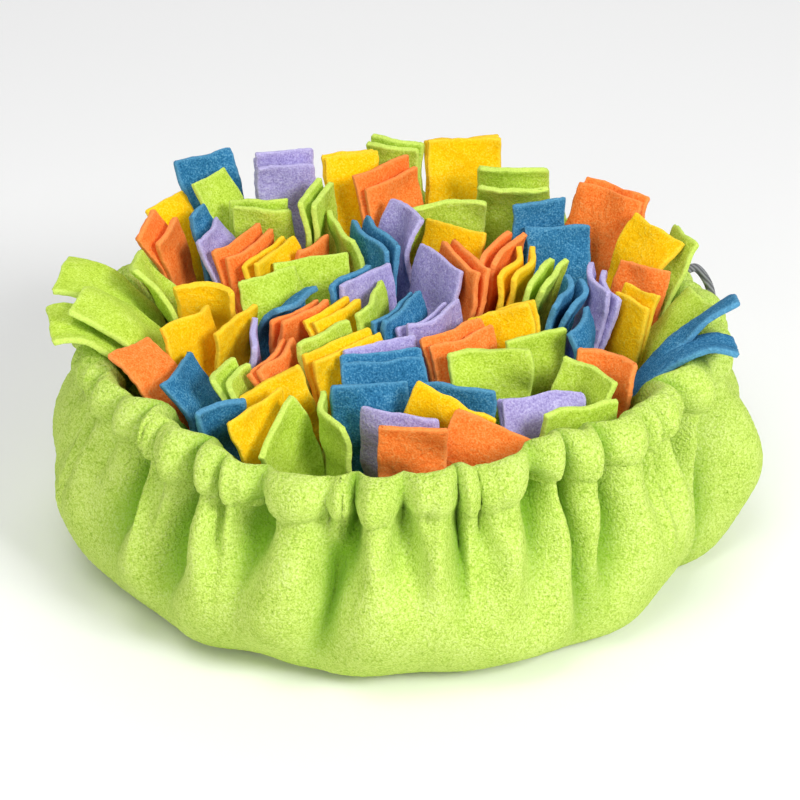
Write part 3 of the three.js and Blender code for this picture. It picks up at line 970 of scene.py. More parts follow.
TAB_GROUPS = (
    TabGroup("blue_1", 1, -90, 90, 137, 30, 20, 0, 0, 30, -26, 6),
    TabGroup("blue_4", 1, -95, 55, 125, 62, 20, 0, 0, 16, 55, 8),
    TabGroup("green_1", 1, -83, 75, 134, 52, 12, 0, 0, 24, 24, 10),
    TabGroup("green_1", 2, -68, 60, 126, 20, 5, 10, 0, 28, 34, -16),
    TabGroup("purple_1", 3, -57, 91, 137, 10, 18, 8, 0, 28, 14, 4),
    TabGroup("yellow_1", 2, -26, 88, 137, 15, 10, 8, 0, 26, 22, 10),
    TabGroup("blue_2", 2, -14, 42, 122, -70, 5, 8, 0, 38, 40, 22),
    TabGroup("blue_2", 1, -25, 7, 117, 43, 10, 0, 0, 30, -14, 8),
    TabGroup("orange_1", 2, -7, 84, 133, 48, 15, 8, 0, 36, 10, 6),
    TabGroup("yellow_2", 2, 28, 105, 139, 15, 6, 8, 0, 36, 6, 5),
    TabGroup("green_2", 2, -2, 115, 136, -25, 16, 10, 0, 26, 18, 8),
    TabGroup("green_2", 1, 20, 67, 125, 3, -8, 0, 0, 36, -42, -6),
    TabGroup("green_2", 3, 54, 84, 136, -3, 15, 8, 0, 34, 12, 8),
    TabGroup("orange_2", 2, 95, 66, 133, -42, 22, 10, 0, 36, 10, 8),
    TabGroup("orange_2", 1, 101, 17, 117, -30, 15, 0, 0, 26, 26, 4),
    TabGroup("yellow_3", 1, 115, 32, 124, -65, 30, 0, 0, 30, 20, 12),
    TabGroup("green_3", 1, 128, 38, 121, -67, 38, 0, 0, 30, 36, 16),
    TabGroup("green_3", 1, 122, -7, 115, -64, 30, 0, 0, 24, 44, 10),
    TabGroup("blue_3", 1, 64, 60, 126, 24, 10, 0, 0, 26, 30, -20),
    TabGroup("blue_3", 1, 72, 46, 121, 10, 10, 0, 0, 30, 12, 4),
    TabGroup("orange_3", 2, 42, 34, 122, 64, -5, 12, 0, 36, 14, 4),
    TabGroup("orange_3", 2, 27, 18, 119, -57, 12, 8, 0, 38, 28, 12),
    TabGroup("yellow_4", 2, 52, 19, 119, 72, -8, 10, 0, 34, 16, -6),
    TabGroup("yellow_5", 1, -108, 67, 128, 55, 30, 0, 0, 25, 46, 8),
    TabGroup("orange_4", 2, -122, 37, 121, 85, 50, 20, 0, 22, 26, 14),
    TabGroup("purple_2", 1, -80, 38, 123, 61, 12, 0, 0, 32, 14, 6),
    TabGroup("orange_5", 2, -70, 29, 121, 60, 12, 6, 0, 36, 8, 10),
    TabGroup("yellow_6", 2, -56, 29, 120, 60, 10, 6, 0, 35, 8, 12),
    TabGroup("orange_6", 1, -40, 35, 118, 60, 8, 0, 0, 24, 34, 4),
    TabGroup("green_4", 2, -41, 61, 131, 75, 5, 10, 0, 30, -58, 4),
    TabGroup("green_4", 1, -28, 45, 122, -70, 0, 0, 0, 36, 36, 10),
    TabGroup("purple_3", 1, 0, 52, 126, -50, 10, 0, 0, 30, -30, 6),
    TabGroup("green_5", 1, -41, 17, 118, 16, 15, 0, 0, 36, -22, 8),
    TabGroup("green_5", 1, -56, 4, 117, 43, 8, 0, 0, 30, 38, 4),
    TabGroup("purple_4", 1, -13, 5.5, 116, 38, 10, 0, 0, 34, 24, 8),
    TabGroup("green_6", 1, -150, 9, 121, 85, 80, 0, 0, 35, 14, 12),
    TabGroup("green_6", 1, -117, 8, 121, 74, 25, 0, 0, 29, -100, 8),
    TabGroup("green_7", 1, -136, -22, 121, 80, 80, 0, 0, 38, 10, 16),
    TabGroup("green_7", 1, -152, -38, 117, 100, 98, 0, 0, 30, 8, 14),
    TabGroup("yellow_7", 1, -86, 0, 118, -11, -5, 0, 0, 32, -125, 0),
    TabGroup("yellow_7", 1, -72, -28, 113, 73, 5, 0, 0, 32, 24, 6),
    TabGroup("yellow_7", 1, -93, -33, 112, 40, 20, 0, 0, 32, 18, 14),
    TabGroup("blue_5", 1, -56, -10, 118, 43, 5, 0, 0, 30, 6, -95),
    TabGroup("purple_5", 1, -63, -39, 111, 75, 5, 0, 0, 30, 20, 6),
    TabGroup("orange_7", 2, -52, -49, 108, 74, 5, 8, 0, 34, 22, 8),
    TabGroup("orange_7", 2, -44, -19, 114, 48, 8, 8, 0, 30, 16, 6),
    TabGroup("yellow_8", 1, -57, -71, 107, 30, 15, 0, 20, 28, -46, 4),
    TabGroup("yellow_8", 1, -60, -94, 104, 63, 15, 0, 0, 34, 20, 10),
    TabGroup("yellow_9", 2, -29, -23, 113, 60, 5, 8, 0, 30, 16, 8),
    TabGroup("yellow_10", 2, -25, -47, 110, 43, 12, 6, 0, 38, 8, 8),
    TabGroup("green_8", 1, -31, -39, 111, 43, 12, 0, 0, 34, 10, 8),
    TabGroup("green_8", 1, -9, -12, 114, 64, 5, 0, 0, 36, 30, 6),
    TabGroup("blue_6", 2, 0, -17, 114, 62, 3, 8, 0, 36, 18, 8),
    TabGroup("purple_6", 2, 13, -25, 112, 60, 3, 8, 0, 34, 22, 8),
    TabGroup("purple_6", 1, 15, 16, 118, -60, 12, 0, 0, 34, 12, 12),
    TabGroup("yellow_11", 1, 20, 43, 121, -28, 10, 0, 0, 32, 12, 6),
    TabGroup("orange_8", 2, 26, -41, 111, 38, 8, 8, 0, 34, 24, 10),
    TabGroup("yellow_12", 2, 43, -20, 113, -20, 15, 8, 25, 32, 14, 12),
    TabGroup("green_9", 1, 37, -52, 110, 20, 12, 0, 0, 36, -34, 4),
    TabGroup("green_9", 1, 58, -45, 110, 33, 10, 0, 0, 28, 34, 6),
    TabGroup("green_10", 2, 60, 8, 117, 62, 0, 10, 0, 34, -40, 4),
    TabGroup("blue_7", 2, 70, -7, 116, 72, -3, 10, 0, 34, 34, -4),
    TabGroup("blue_7", 1, 82, -36, 112, 60, -5, 0, 0, 26, 28, 4),
    TabGroup("purple_7", 2, 86, 3, 117, -76, 8, 10, 0, 32, 26, 12),
    TabGroup("yellow_13", 2, 105, -11, 114, -40, 15, 10, 0, 22, 18, 10),
    TabGroup("blue_8", 1, 142, -35, 119, -86, 80, 0, 0, 24, 26, -6),
    TabGroup("blue_8", 1, 140, -47, 112, -92, 100, 0, 0, 22, 18, -8),
    TabGroup("orange_9", 1, 87, -58, 109, -25, 12, 0, 0, 30, -68, 6),
    TabGroup("green_11", 1, 79, -64, 106, -48, 12, 0, 0, 32, -96, 4),
    TabGroup("green_11", 1, 77, -90, 103, 26, -8, 0, 0, 34, -28, -14),
    TabGroup("purple_8", 2, 56, -84, 104, 17, 8, 8, 0, 36, 16, 10),
    TabGroup("orange_10", 1, 37, -109, 102, 0, 5, 0, -20, 36, 18, 4),
    TabGroup("orange_10", 1, 4, -109, 103, -10, 5, 0, 0, 28, 6, 4),
    TabGroup("yellow_14", 1, 21, -92, 105, -20, 8, 0, -20, 36, 14, 8),
    TabGroup("blue_9", 1, 22, -77, 105, -20, 8, 0, 0, 34, 12, 6),
    TabGroup("blue_9", 1, -14, -79, 105, 2, 10, 0, 0, 32, 8, -4),
    TabGroup("blue_9", 2, -8, -60, 110, 8, 15, 6, 0, 36, 6, 6),
    TabGroup("purple_9", 1, 0, -95, 104, -28, 5, 0, 0, 34, 18, 4),
    TabGroup("purple_10", 1, -10, -49, 111, 25, 12, 0, 0, 34, 10, 8),
    TabGroup("green_12", 1, -34, -95, 104, -72, 0, 0, 0, 34, 46, 6),
    TabGroup("green_12", 1, -52, -101, 103, 45, 8, 0, 30, 32, 24, 6),
    TabGroup("blue_10", 1, -91, -62, 109, 68, 20, 0, 0, 34, 18, 10),
    TabGroup("blue_10", 1, -77, -90, 104, 50, 8, 0, 0, 24, -98, -4),
    TabGroup("green_13", 2, -72, -70, 107, 60, 10, 10, 0, 27, -56, -8),
    TabGroup("orange_11", 1, -115, -52, 111, 50, 58, 0, 0, 24, 24, 8),
)


class TabCloth(NamedTuple):
    """Mesh of one tab, with the painted highlight of its cut edge by corner and its area in square
    millimetres.
    """

    corners: np.ndarray
    faces: list[list[int]]
    edge: np.ndarray
    area: float


class TabLuck(NamedTuple):
    """Unevenness of one tab: more length, twist, size of its corners, cup, curl, and the beat of its sway."""

    longer: float
    twist: float
    corner: float
    cup: float
    curl: float
    sway_beat: float
    sway_start: float


class TabLine(NamedTuple):
    """Middle line of one tab: shares and length along it, length left to the tip, points and directions."""

    share: np.ndarray
    run: np.ndarray
    left: np.ndarray
    point: np.ndarray
    way: np.ndarray
    rib: np.ndarray
    face: np.ndarray


EDGE_LINES = np.array([0.0, 0.007, 0.022, 0.05])
INNER_LINES = (0.14, 0.86)
TIP_LINES = np.array([0.965, 0.984, 0.9935, 0.998, 1.0])
BLOCK_LAYERS = ((0.94, 0.0), (1.0, 0.15), (1.0, 0.75), (0.9, 1.0))


@dataclass
class TabHeap:
    """The tufts of cut tabs. Sizes are in millimetres and degrees."""

    groups: Sequence[TabGroup] = TAB_GROUPS
    # Where the tabs stand and how they rise
    floor: float = 3.4
    tab_gap: float = 6.0
    tab_fall: float = 2.5
    root_share: float = 0.36
    root_pull: float = 0.86
    root_pitch: float = 3.2
    bend_height: float = 80.0
    bend_most: float = 20.0
    drape_lean: float = 40.0
    drape_reach: float = 0.5
    rise: float = 60.0
    tip_reach: float = 34.0
    # Thickness and cut edges, with the painted highlight along the edges
    root_thickness: float = 2.4
    tip_thickness: float = 2.8
    edge_round: float = 1.1
    edge_share: float = 0.6
    highlight_reach: float = 0.9
    highlight_most: float = 0.45
    corner: float = 1.3
    corner_least: float = 0.12
    # Bends
    bend_length: float = 42.0
    roll_length: float = 24.0
    roll_from: float = 0.8
    flattest: float = 1e-4
    cup_level: float = 0.6
    sway: float = 1.8
    # Where along a tab each change comes in
    width_ramp: Ramp = Ramp(0.0, 0.6)
    thick_ramp: Ramp = Ramp(0.0, 0.8)
    twist_ramp: Ramp = Ramp(0.3, 0.7)
    cup_ramp: Ramp = Ramp(0.25, 0.6)
    sway_ramp: Ramp = Ramp(0.3, 0.5)
    ruffle_ramp: Ramp = Ramp(0.4, 0.3)
    # Unevenness of edges and faces
    ragged: Grain = Grain(0.25, 14.0)
    fray: Grain = Grain(0.1, 3.0)
    ruffle: Grain = Grain(0.9, 24.0)
    pile: Grain = Grain(0.05, 3.0)
    ragged_reach: float = 6.0
    # Backings on the bag's floor
    backing_width: float = 12.0
    backing_height: float = 6.0
    backing_margin: float = 3.0
    strip_width: float = 6.0
    strip_height: float = 2.4
    block_sides: int = 16
    block_square: float = 0.35
    # Lines of a tab's mesh
    lines_across: int = 17
    lines_along: int = 34
    # Seeds and ranges of each tab's own unevenness
    tuft_seed: int = 97
    group_seed: int = 13
    own_seed: int = 10
    free_length: tuple[float, float] = (-1.5, 3.0)
    free_twist: tuple[float, float] = (-1.5, 1.5)
    free_corner: tuple[float, float] = (0.5, 1.2)
    free_bend: tuple[float, float] = (-2.0, 2.0)
    sway_beats: tuple[float, float] = (4.0, 7.0)
    sway_starts: tuple[float, float] = (0.0, 6.0)

    def directions(self, group: TabGroup) -> tuple[np.ndarray, np.ndarray]:
        """Directions of a group on the floor.

        Args:
            group: The group.

        Returns:
            The direction along the tip edge, and the one square to it.
        """
        angle = math.radians(group.heading)
        along = np.array([math.cos(angle), math.sin(angle), 0.0])
        return along, np.array([-along[1], along[0], 0.0])

    def root(self, group: TabGroup) -> np.ndarray:
        """Root of a group on the bag's floor.

        Args:
            group: The group.

        Returns:
            Its place, drawn in from where the group stands at the mouth.
        """
        _, across = self.directions(group)
        bend = min(self.bend_most, (group.z - self.bend_height) * math.tan(math.radians(group.lean) / 2))
        drape = self.drape_reach * max(0.0, group.lean - self.drape_lean)
        root = (np.array([group.x, group.y, 0.0]) - across * (bend + drape)) * self.root_pull
        root[2] = self.floor
        return root

    def luck(self, place: float, seed: int) -> TabLuck:
        """Draws the unevenness of one tab. Tabs of one group sway alike.

        Args:
            place: The tab's place in its group.
            seed: Seed of its group's unevenness.

        Returns:
            The tab's own unevenness.
        """
        own = np.random.default_rng(seed + int(self.own_seed + 2 * place))
        shared = np.random.default_rng(seed)
        return TabLuck(
            longer=own.uniform(*self.free_length),
            twist=own.uniform(*self.free_twist),
            corner=own.uniform(*self.free_corner),
            cup=own.uniform(*self.free_bend),
            curl=own.uniform(*self.free_bend),
            sway_beat=shared.uniform(*self.sway_beats),
            sway_start=shared.uniform(*self.sway_starts),
        )

    def middle_line(
        self, group: TabGroup, place: float, share: np.ndarray, longer: float
    ) -> tuple[np.ndarray, np.ndarray]:
        """Middle line of one tab before it is bent.

        Args:
            group: The tab's group.
            place: The tab's place in it, counted from its middle.
            share: Shares of the way from root to tip.
            longer: How much the tab is longer than its row says.

        Returns:
            Points on the line and its directions there.
        """
        along, across = self.directions(group)
        lean = math.radians(group.lean + place * group.fan)
        tilt = math.radians(group.tilt)
        start = self.root(group) + across * place * self.root_pitch
        start[2] += self.backing_height / 2
        tip = np.array([group.x, group.y, group.z - abs(place) * self.tab_fall])
        tip = tip + across * place * self.tab_gap
        upward = np.array([0, 0, math.cos(lean)]) + across * math.sin(lean)
        pointing = upward * math.cos(tilt) - along * math.sin(tilt)
        tip = tip + pointing * longer
        knots = (start, start + np.array([0, 0, self.rise]), tip - pointing * self.tip_reach, tip)
        t = share[:, None]
        point = (
            (1 - t) ** 3 * knots[0]
            + 3 * (1 - t) ** 2 * t * knots[1]
            + 3 * (1 - t) * t**2 * knots[2]
            + t**3 * knots[3]
        )
        way = (
            3 * (1 - t) ** 2 * (knots[1] - knots[0])
            + 6 * (1 - t) * t * (knots[2] - knots[1])
            + 3 * t**2 * (knots[3] - knots[2])
        )
        return point, way / np.linalg.norm(way, axis=1)[:, None]

    def lines(self) -> tuple[np.ndarray, np.ndarray]:
        """Grid lines of a tab, closer together at its cut edges.

        Returns:
            Places across the width from -0.5 to 0.5, and shares of the length from 0 to 1.
        """
        inner = np.linspace(*INNER_LINES, self.lines_across - 2 * len(EDGE_LINES))
        across = np.concatenate([EDGE_LINES, inner, 1.0 - EDGE_LINES[::-1]]) - 0.5
        lower = self.lines_along // 4
        low = np.linspace(0.0, 0.5, lower, endpoint=False)
        high = np.linspace(0.5, TIP_LINES[0], self.lines_along - lower - len(TIP_LINES) + 1, endpoint=False)
        return across, np.concatenate([low, high, TIP_LINES])

    def tab_line(self, group: TabGroup, place: float, share: np.ndarray, luck: TabLuck) -> TabLine:
        """Middle line of one tab with its directions, tilted and twisted towards the tip.

        Args:
            group: The tab's group.
            place: The tab's place in it.
            share: Shares of the way from root to tip.
            luck: The tab's unevenness.

        Returns:
            The line, whose way runs along the tab, its rib across and its face out of it.
        """
        point, way = self.middle_line(group, place, share, luck.longer)
        along, _ = self.directions(group)
        run = np.concatenate([[0.0], np.cumsum(np.linalg.norm(np.diff(point, axis=0), axis=1))])
        facing = np.cross(along, way)
        facing /= np.linalg.norm(facing, axis=1)[:, None]
        tilt = np.radians(group.tilt) * share**2
        rib = along * np.cos(tilt)[:, None] + np.cross(facing, along) * np.sin(tilt)[:, None]
        face = np.cross(rib, way)
        face /= np.linalg.norm(face, axis=1)[:, None]
        twist = np.radians(group.twist + luck.twist) * self.twist_ramp.at(share)
        cos, sin = np.cos(twist)[:, None], np.sin(twist)[:, None]
        return TabLine(share, run, run[-1] - run, point, way, rib * cos + face * sin, face * cos - rib * sin)

    def half_width(self, group: TabGroup, line: TabLine, luck: TabLuck) -> np.ndarray:
        """Half of a tab's width along its length.

        Args:
            group: The tab's group.
            line: Its middle line.
            luck: The tab's unevenness.

        Returns:
            Half widths, narrow at the root, with small round corners at the tip.
        """
        width = group.width * (self.root_share + (1 - self.root_share) * self.width_ramp.at(line.share))
        corner = self.corner * luck.corner
        inset = corner - np.sqrt(np.maximum(0.0, corner**2 - np.maximum(0.0, corner - line.left) ** 2))
        return np.maximum(width / 2 - inset, width * self.corner_least)

    def cupped(
        self, group: TabGroup, share: np.ndarray, reach: np.ndarray, luck: TabLuck
    ) -> tuple[np.ndarray, np.ndarray]:
        """Arc of a tab across its width.

        Args:
            group: The tab's group.
            share: Shares of its length.
            reach: Places across the flat tab, row by column.
            luck: The tab's unevenness.

        Returns:
            Places across the cupped tab, and how far it sags there.
        """
        cup = math.radians(group.cup + luck.cup) * self.cup_ramp.at(share)
        bow = (np.where(np.abs(cup) < self.flattest, self.flattest, cup) / group.width)[:, None]
        sag = (1 - np.cos(bow * reach)) / bow
        return np.sin(bow * reach) / bow, sag - sag.mean(axis=1, keepdims=True) * self.cup_level

    def curled(self, group: TabGroup, line: TabLine, luck: TabLuck) -> np.ndarray:
        """Middle line of a tab once its tip is curled and it sways.

        Args:
            group: The tab's group.
            line: Its middle line.
            luck: The tab's unevenness.

        Returns:
            The moved points.
        """
        curl = math.radians(group.curl + luck.curl)
        curl = curl if abs(curl) > self.flattest else self.flattest
        bend = self.roll_length if abs(curl) > self.roll_from else self.bend_length
        arc = np.maximum(0.0, bend - line.left)
        turn = curl / bend
        back = np.sin(turn * arc) / turn - arc
        lift = (1 - np.cos(turn * arc)) / turn
        sway = np.sin(line.share * luck.sway_beat + luck.sway_start)
        sway = self.sway * sway * self.sway_ramp.at(line.share)
        return line.point + line.way * back[:, None] - line.face * (lift + sway)[:, None]

    def half_thickness(
        self, sheet: np.ndarray, share: np.ndarray, to_edge: np.ndarray, seed: int
    ) -> np.ndarray:
        """Way from a tab's middle sheet to its two faces, less at the rounded cut edges.

        Args:
            sheet: Points of the middle sheet, row by column.
            share: Shares of the tab's length.
            to_edge: Distance of each point from the cut edge.
            seed: Seed of the pile.

        Returns:
            A way for each point, square to the sheet.
        """
        thicker = self.tip_thickness - self.root_thickness
        thickness = self.root_thickness + thicker * self.thick_ramp.at(share)
        rounding = 1.0 - np.clip(to_edge / self.edge_round, 0.0, 1.0)
        plump = self.edge_share + (1 - self.edge_share) * np.sqrt(1.0 - rounding**2)
        normal = np.cross(np.gradient(sheet, axis=1), np.gradient(sheet, axis=0))
        normal /= np.maximum(np.linalg.norm(normal, axis=-1, keepdims=True), TINY)
        pile = 1.0 + self.pile.at(sheet, seed)
        return normal * (0.5 * thickness[:, None] * plump * pile)[..., None]

    def shell(self, rows: int, columns: int) -> list[list[int]]:
        """Faces of a closed tab: its two faces, its sides, its tip and its root.

        Args:
            rows: Rows of corners along the tab.
            columns: Corners of a row.

        Returns:
            Corner numbers of each face.
        """
        front = np.arange(rows * columns).reshape(rows, columns)
        rear = front + rows * columns
        quads = [
            (front[:-1, :-1], front[:-1, 1:], front[1:, 1:], front[1:, :-1]),
            (rear[:-1, :-1], rear[1:, :-1], rear[1:, 1:], rear[:-1, 1:]),
            (front[:-1, 0], front[1:, 0], rear[1:, 0], rear[:-1, 0]),
            (front[1:, -1], front[:-1, -1], rear[:-1, -1], rear[1:, -1]),
            (front[-1, :-1], front[-1, 1:], rear[-1, 1:], rear[-1, :-1]),
            (front[0, 1:], front[0, :-1], rear[0, :-1], rear[0, 1:]),
        ]
        return np.concatenate([np.stack([c.reshape(-1) for c in quad], axis=1) for quad in quads]).tolist()

    def tab(self, group: TabGroup, place: float, seed: int) -> TabCloth:
        """One soft tab with cut edges.

        Args:
            group: The tab's group.
            place: The tab's place in it.
            seed: Seed of its group's unevenness.

        Returns:
            The tab's closed mesh.
        """
        luck = self.luck(place, seed)
        across, share = self.lines()
        line = self.tab_line(group, place, share, luck)
        way, rib, face = (direction[:, None, :] for direction in (line.way, line.rib, line.face))
        half = self.half_width(group, line, luck)
        reach = across[None, :] * 2 * half[:, None]
        to_side = half[:, None] - np.abs(reach)
        to_edge = np.minimum(to_side, line.left[:, None])
        side, sag = self.cupped(group, share, reach, luck)
        sheet = self.curled(group, line, luck)[:, None, :] + rib * side[..., None] - face * sag[..., None]
        ragged = self.ragged.at(sheet, seed + 1) + self.fray.at(sheet, seed + 2)
        outward = np.sign(across)[None, :] * np.exp(-to_side / self.ragged_reach) * ragged
        onward = np.exp(-line.left / self.ragged_reach)[:, None] * ragged
        sheet = sheet + rib * outward[..., None]
        sheet = sheet + way * onward[..., None]
        spacing = place * (self.root_pitch + (self.tab_gap - self.root_pitch) * share)
        alike = sheet - self.directions(group)[1] * spacing[:, None, None]
        ruffle = self.ruffle.at(alike, seed + 3) * self.ruffle_ramp.at(share)[:, None]
        sheet = sheet - face * ruffle[..., None]
        offset = self.half_thickness(sheet, share, to_edge, seed + 4)
        corners = np.concatenate([(sheet + offset).reshape(-1, 3), (sheet - offset).reshape(-1, 3)])
        # Painted highlight, strongest right at the cut edge.
        edge = np.exp(-((to_edge / self.highlight_reach) ** 2)).reshape(-1) * self.highlight_most
        area = float((half[1:] + half[:-1]) @ np.diff(line.run))
        return TabCloth(corners, self.shell(*sheet.shape[:2]), np.concatenate([edge, edge]), area)

    def block(
        self, middle: np.ndarray, heading: float, size: tuple[float, float, float]
    ) -> tuple[np.ndarray, list[tuple[int, ...]]]:
        """A sewn-down block with softened corners.

        Args:
            middle: Middle of its underside.
            heading: Direction of its first side, in radians.
            size: Its sides along that direction, square to it and upward.

        Returns:
            Corners and faces.
        """
        sides = self.block_sides
        angle = np.arange(sides) * 2 * math.pi / sides
        outline = np.stack([np.cos(angle), np.sin(angle)], axis=1)
        outline = np.sign(outline) * np.abs(outline) ** self.block_square * np.array(size[:2]) / 2
        cos, sin = math.cos(heading), math.sin(heading)
        turned = outline @ np.array([[cos, sin], [-sin, cos]])
        layers = [np.column_stack([turned * grow, np.full(sides, size[2] * up)]) for grow, up in BLOCK_LAYERS]
        top = (len(layers) - 1) * sides
        faces: list[tuple[int, ...]] = [tuple(range(sides - 1, -1, -1))]
        for start in range(0, top, sides):
            faces.extend(band(start, start + sides, sides))
        faces.append(tuple(range(top, top + sides)))
        return np.concatenate(layers) + middle, faces

    def seeds(self) -> list[int]:
        """Seeds of the groups' unevenness.

        Returns:
            A seed for each group, in the order of the table.
        """
        names = list(dict.fromkeys(g.tuft for g in self.groups))
        orders = [sum(g.tuft == h.tuft for h in self.groups[:k]) for k, g in enumerate(self.groups)]
        firsts = [(names.index(g.tuft) + 1) * self.tuft_seed for g in self.groups]
        return [first + order * self.group_seed for first, order in zip(firsts, orders)]

    def cloths(self, group: TabGroup, seed: int) -> list[TabCloth]:
        """The soft tabs of one group."""
        return [self.tab(group, i - (group.count - 1) / 2, seed) for i in range(group.count)]

    def tuft(self, name: str, groups: Sequence[TabGroup], seeds: Sequence[int]) -> bpy.types.Object:
        """Args:
            name: The tuft's name, which starts with its colour.
            groups: Its groups of tabs.
            seeds: Seeds of the groups' unevenness.

        Returns:
            The tuft's object.
        """
        finish = TAB_FLEECE[name.split("_")[0]]
        corners: list[np.ndarray] = []
        faces: list[tuple[int, ...]] = []
        marks: list[np.ndarray] = []
        longest = 0.0

        def add(part: np.ndarray, part_faces: Sequence[Sequence[int]], mark: np.ndarray) -> None:
            """Adds a closed part to the tuft.

            Args:
                part: Its corners.
                part_faces: Its faces.
                mark: The painted highlight of its cut edge.
            """
            start = sum(len(c) for c in corners)
            corners.append(part)
            marks.append(mark)
            faces.extend(tuple(k + start for k in f) for f in part_faces)

        for order, group in enumerate(groups):
            for cloth in self.cloths(group, seeds[order]):
                add(cloth.corners, cloth.faces, cloth.edge)
                longest = max(longest, cloth.area / group.width)
            depth = (group.count - 1) * self.root_pitch + self.root_thickness + self.backing_margin
            size = (self.backing_width, depth, self.backing_height)
            part, part_faces = self.block(self.root(group), math.radians(group.heading), size)
            add(part, part_faces, np.zeros(len(part)))
            if order > 0:
                start, end = self.root(groups[order - 1]), self.root(group)
                run = end - start
                size = (float(np.linalg.norm(run)), self.strip_width, self.strip_height)
                part, part_faces = self.block((start + end) / 2, math.atan2(run[1], run[0]), size)
                add(part, part_faces, np.zeros(len(part)))
        # Painted highlight along the cut edges; none on the backings.
        mark = {PAINTED_EDGE_HIGHLIGHT: np.concatenate(marks)}
        piece = mesh_object(f"tabs_{name}", np.concatenate(corners), faces, finish.material(), mark)
        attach(piece, "root")
        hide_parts(f"tuft_{name}")
        return piece

    def build(self) -> list[bpy.types.Object]:
        """Makes every tuft.

        Returns:
            The tufts' objects, in the order of the table.
        """
        tufts: dict[str, list[tuple[TabGroup, int]]] = {}
        for group, seed in zip(self.groups, self.seeds()):
            tufts.setdefault(group.tuft, []).append((group, seed))
        return [self.tuft(name, *zip(*rows)) for name, rows in tufts.items()]


class Probe(NamedTuple):
    """Coarse mesh of one group with its box, and how many faces of its own tabs cut into each other."""

    tree: BVHTree
    low: np.ndarray
    high: np.ndarray
    own: int


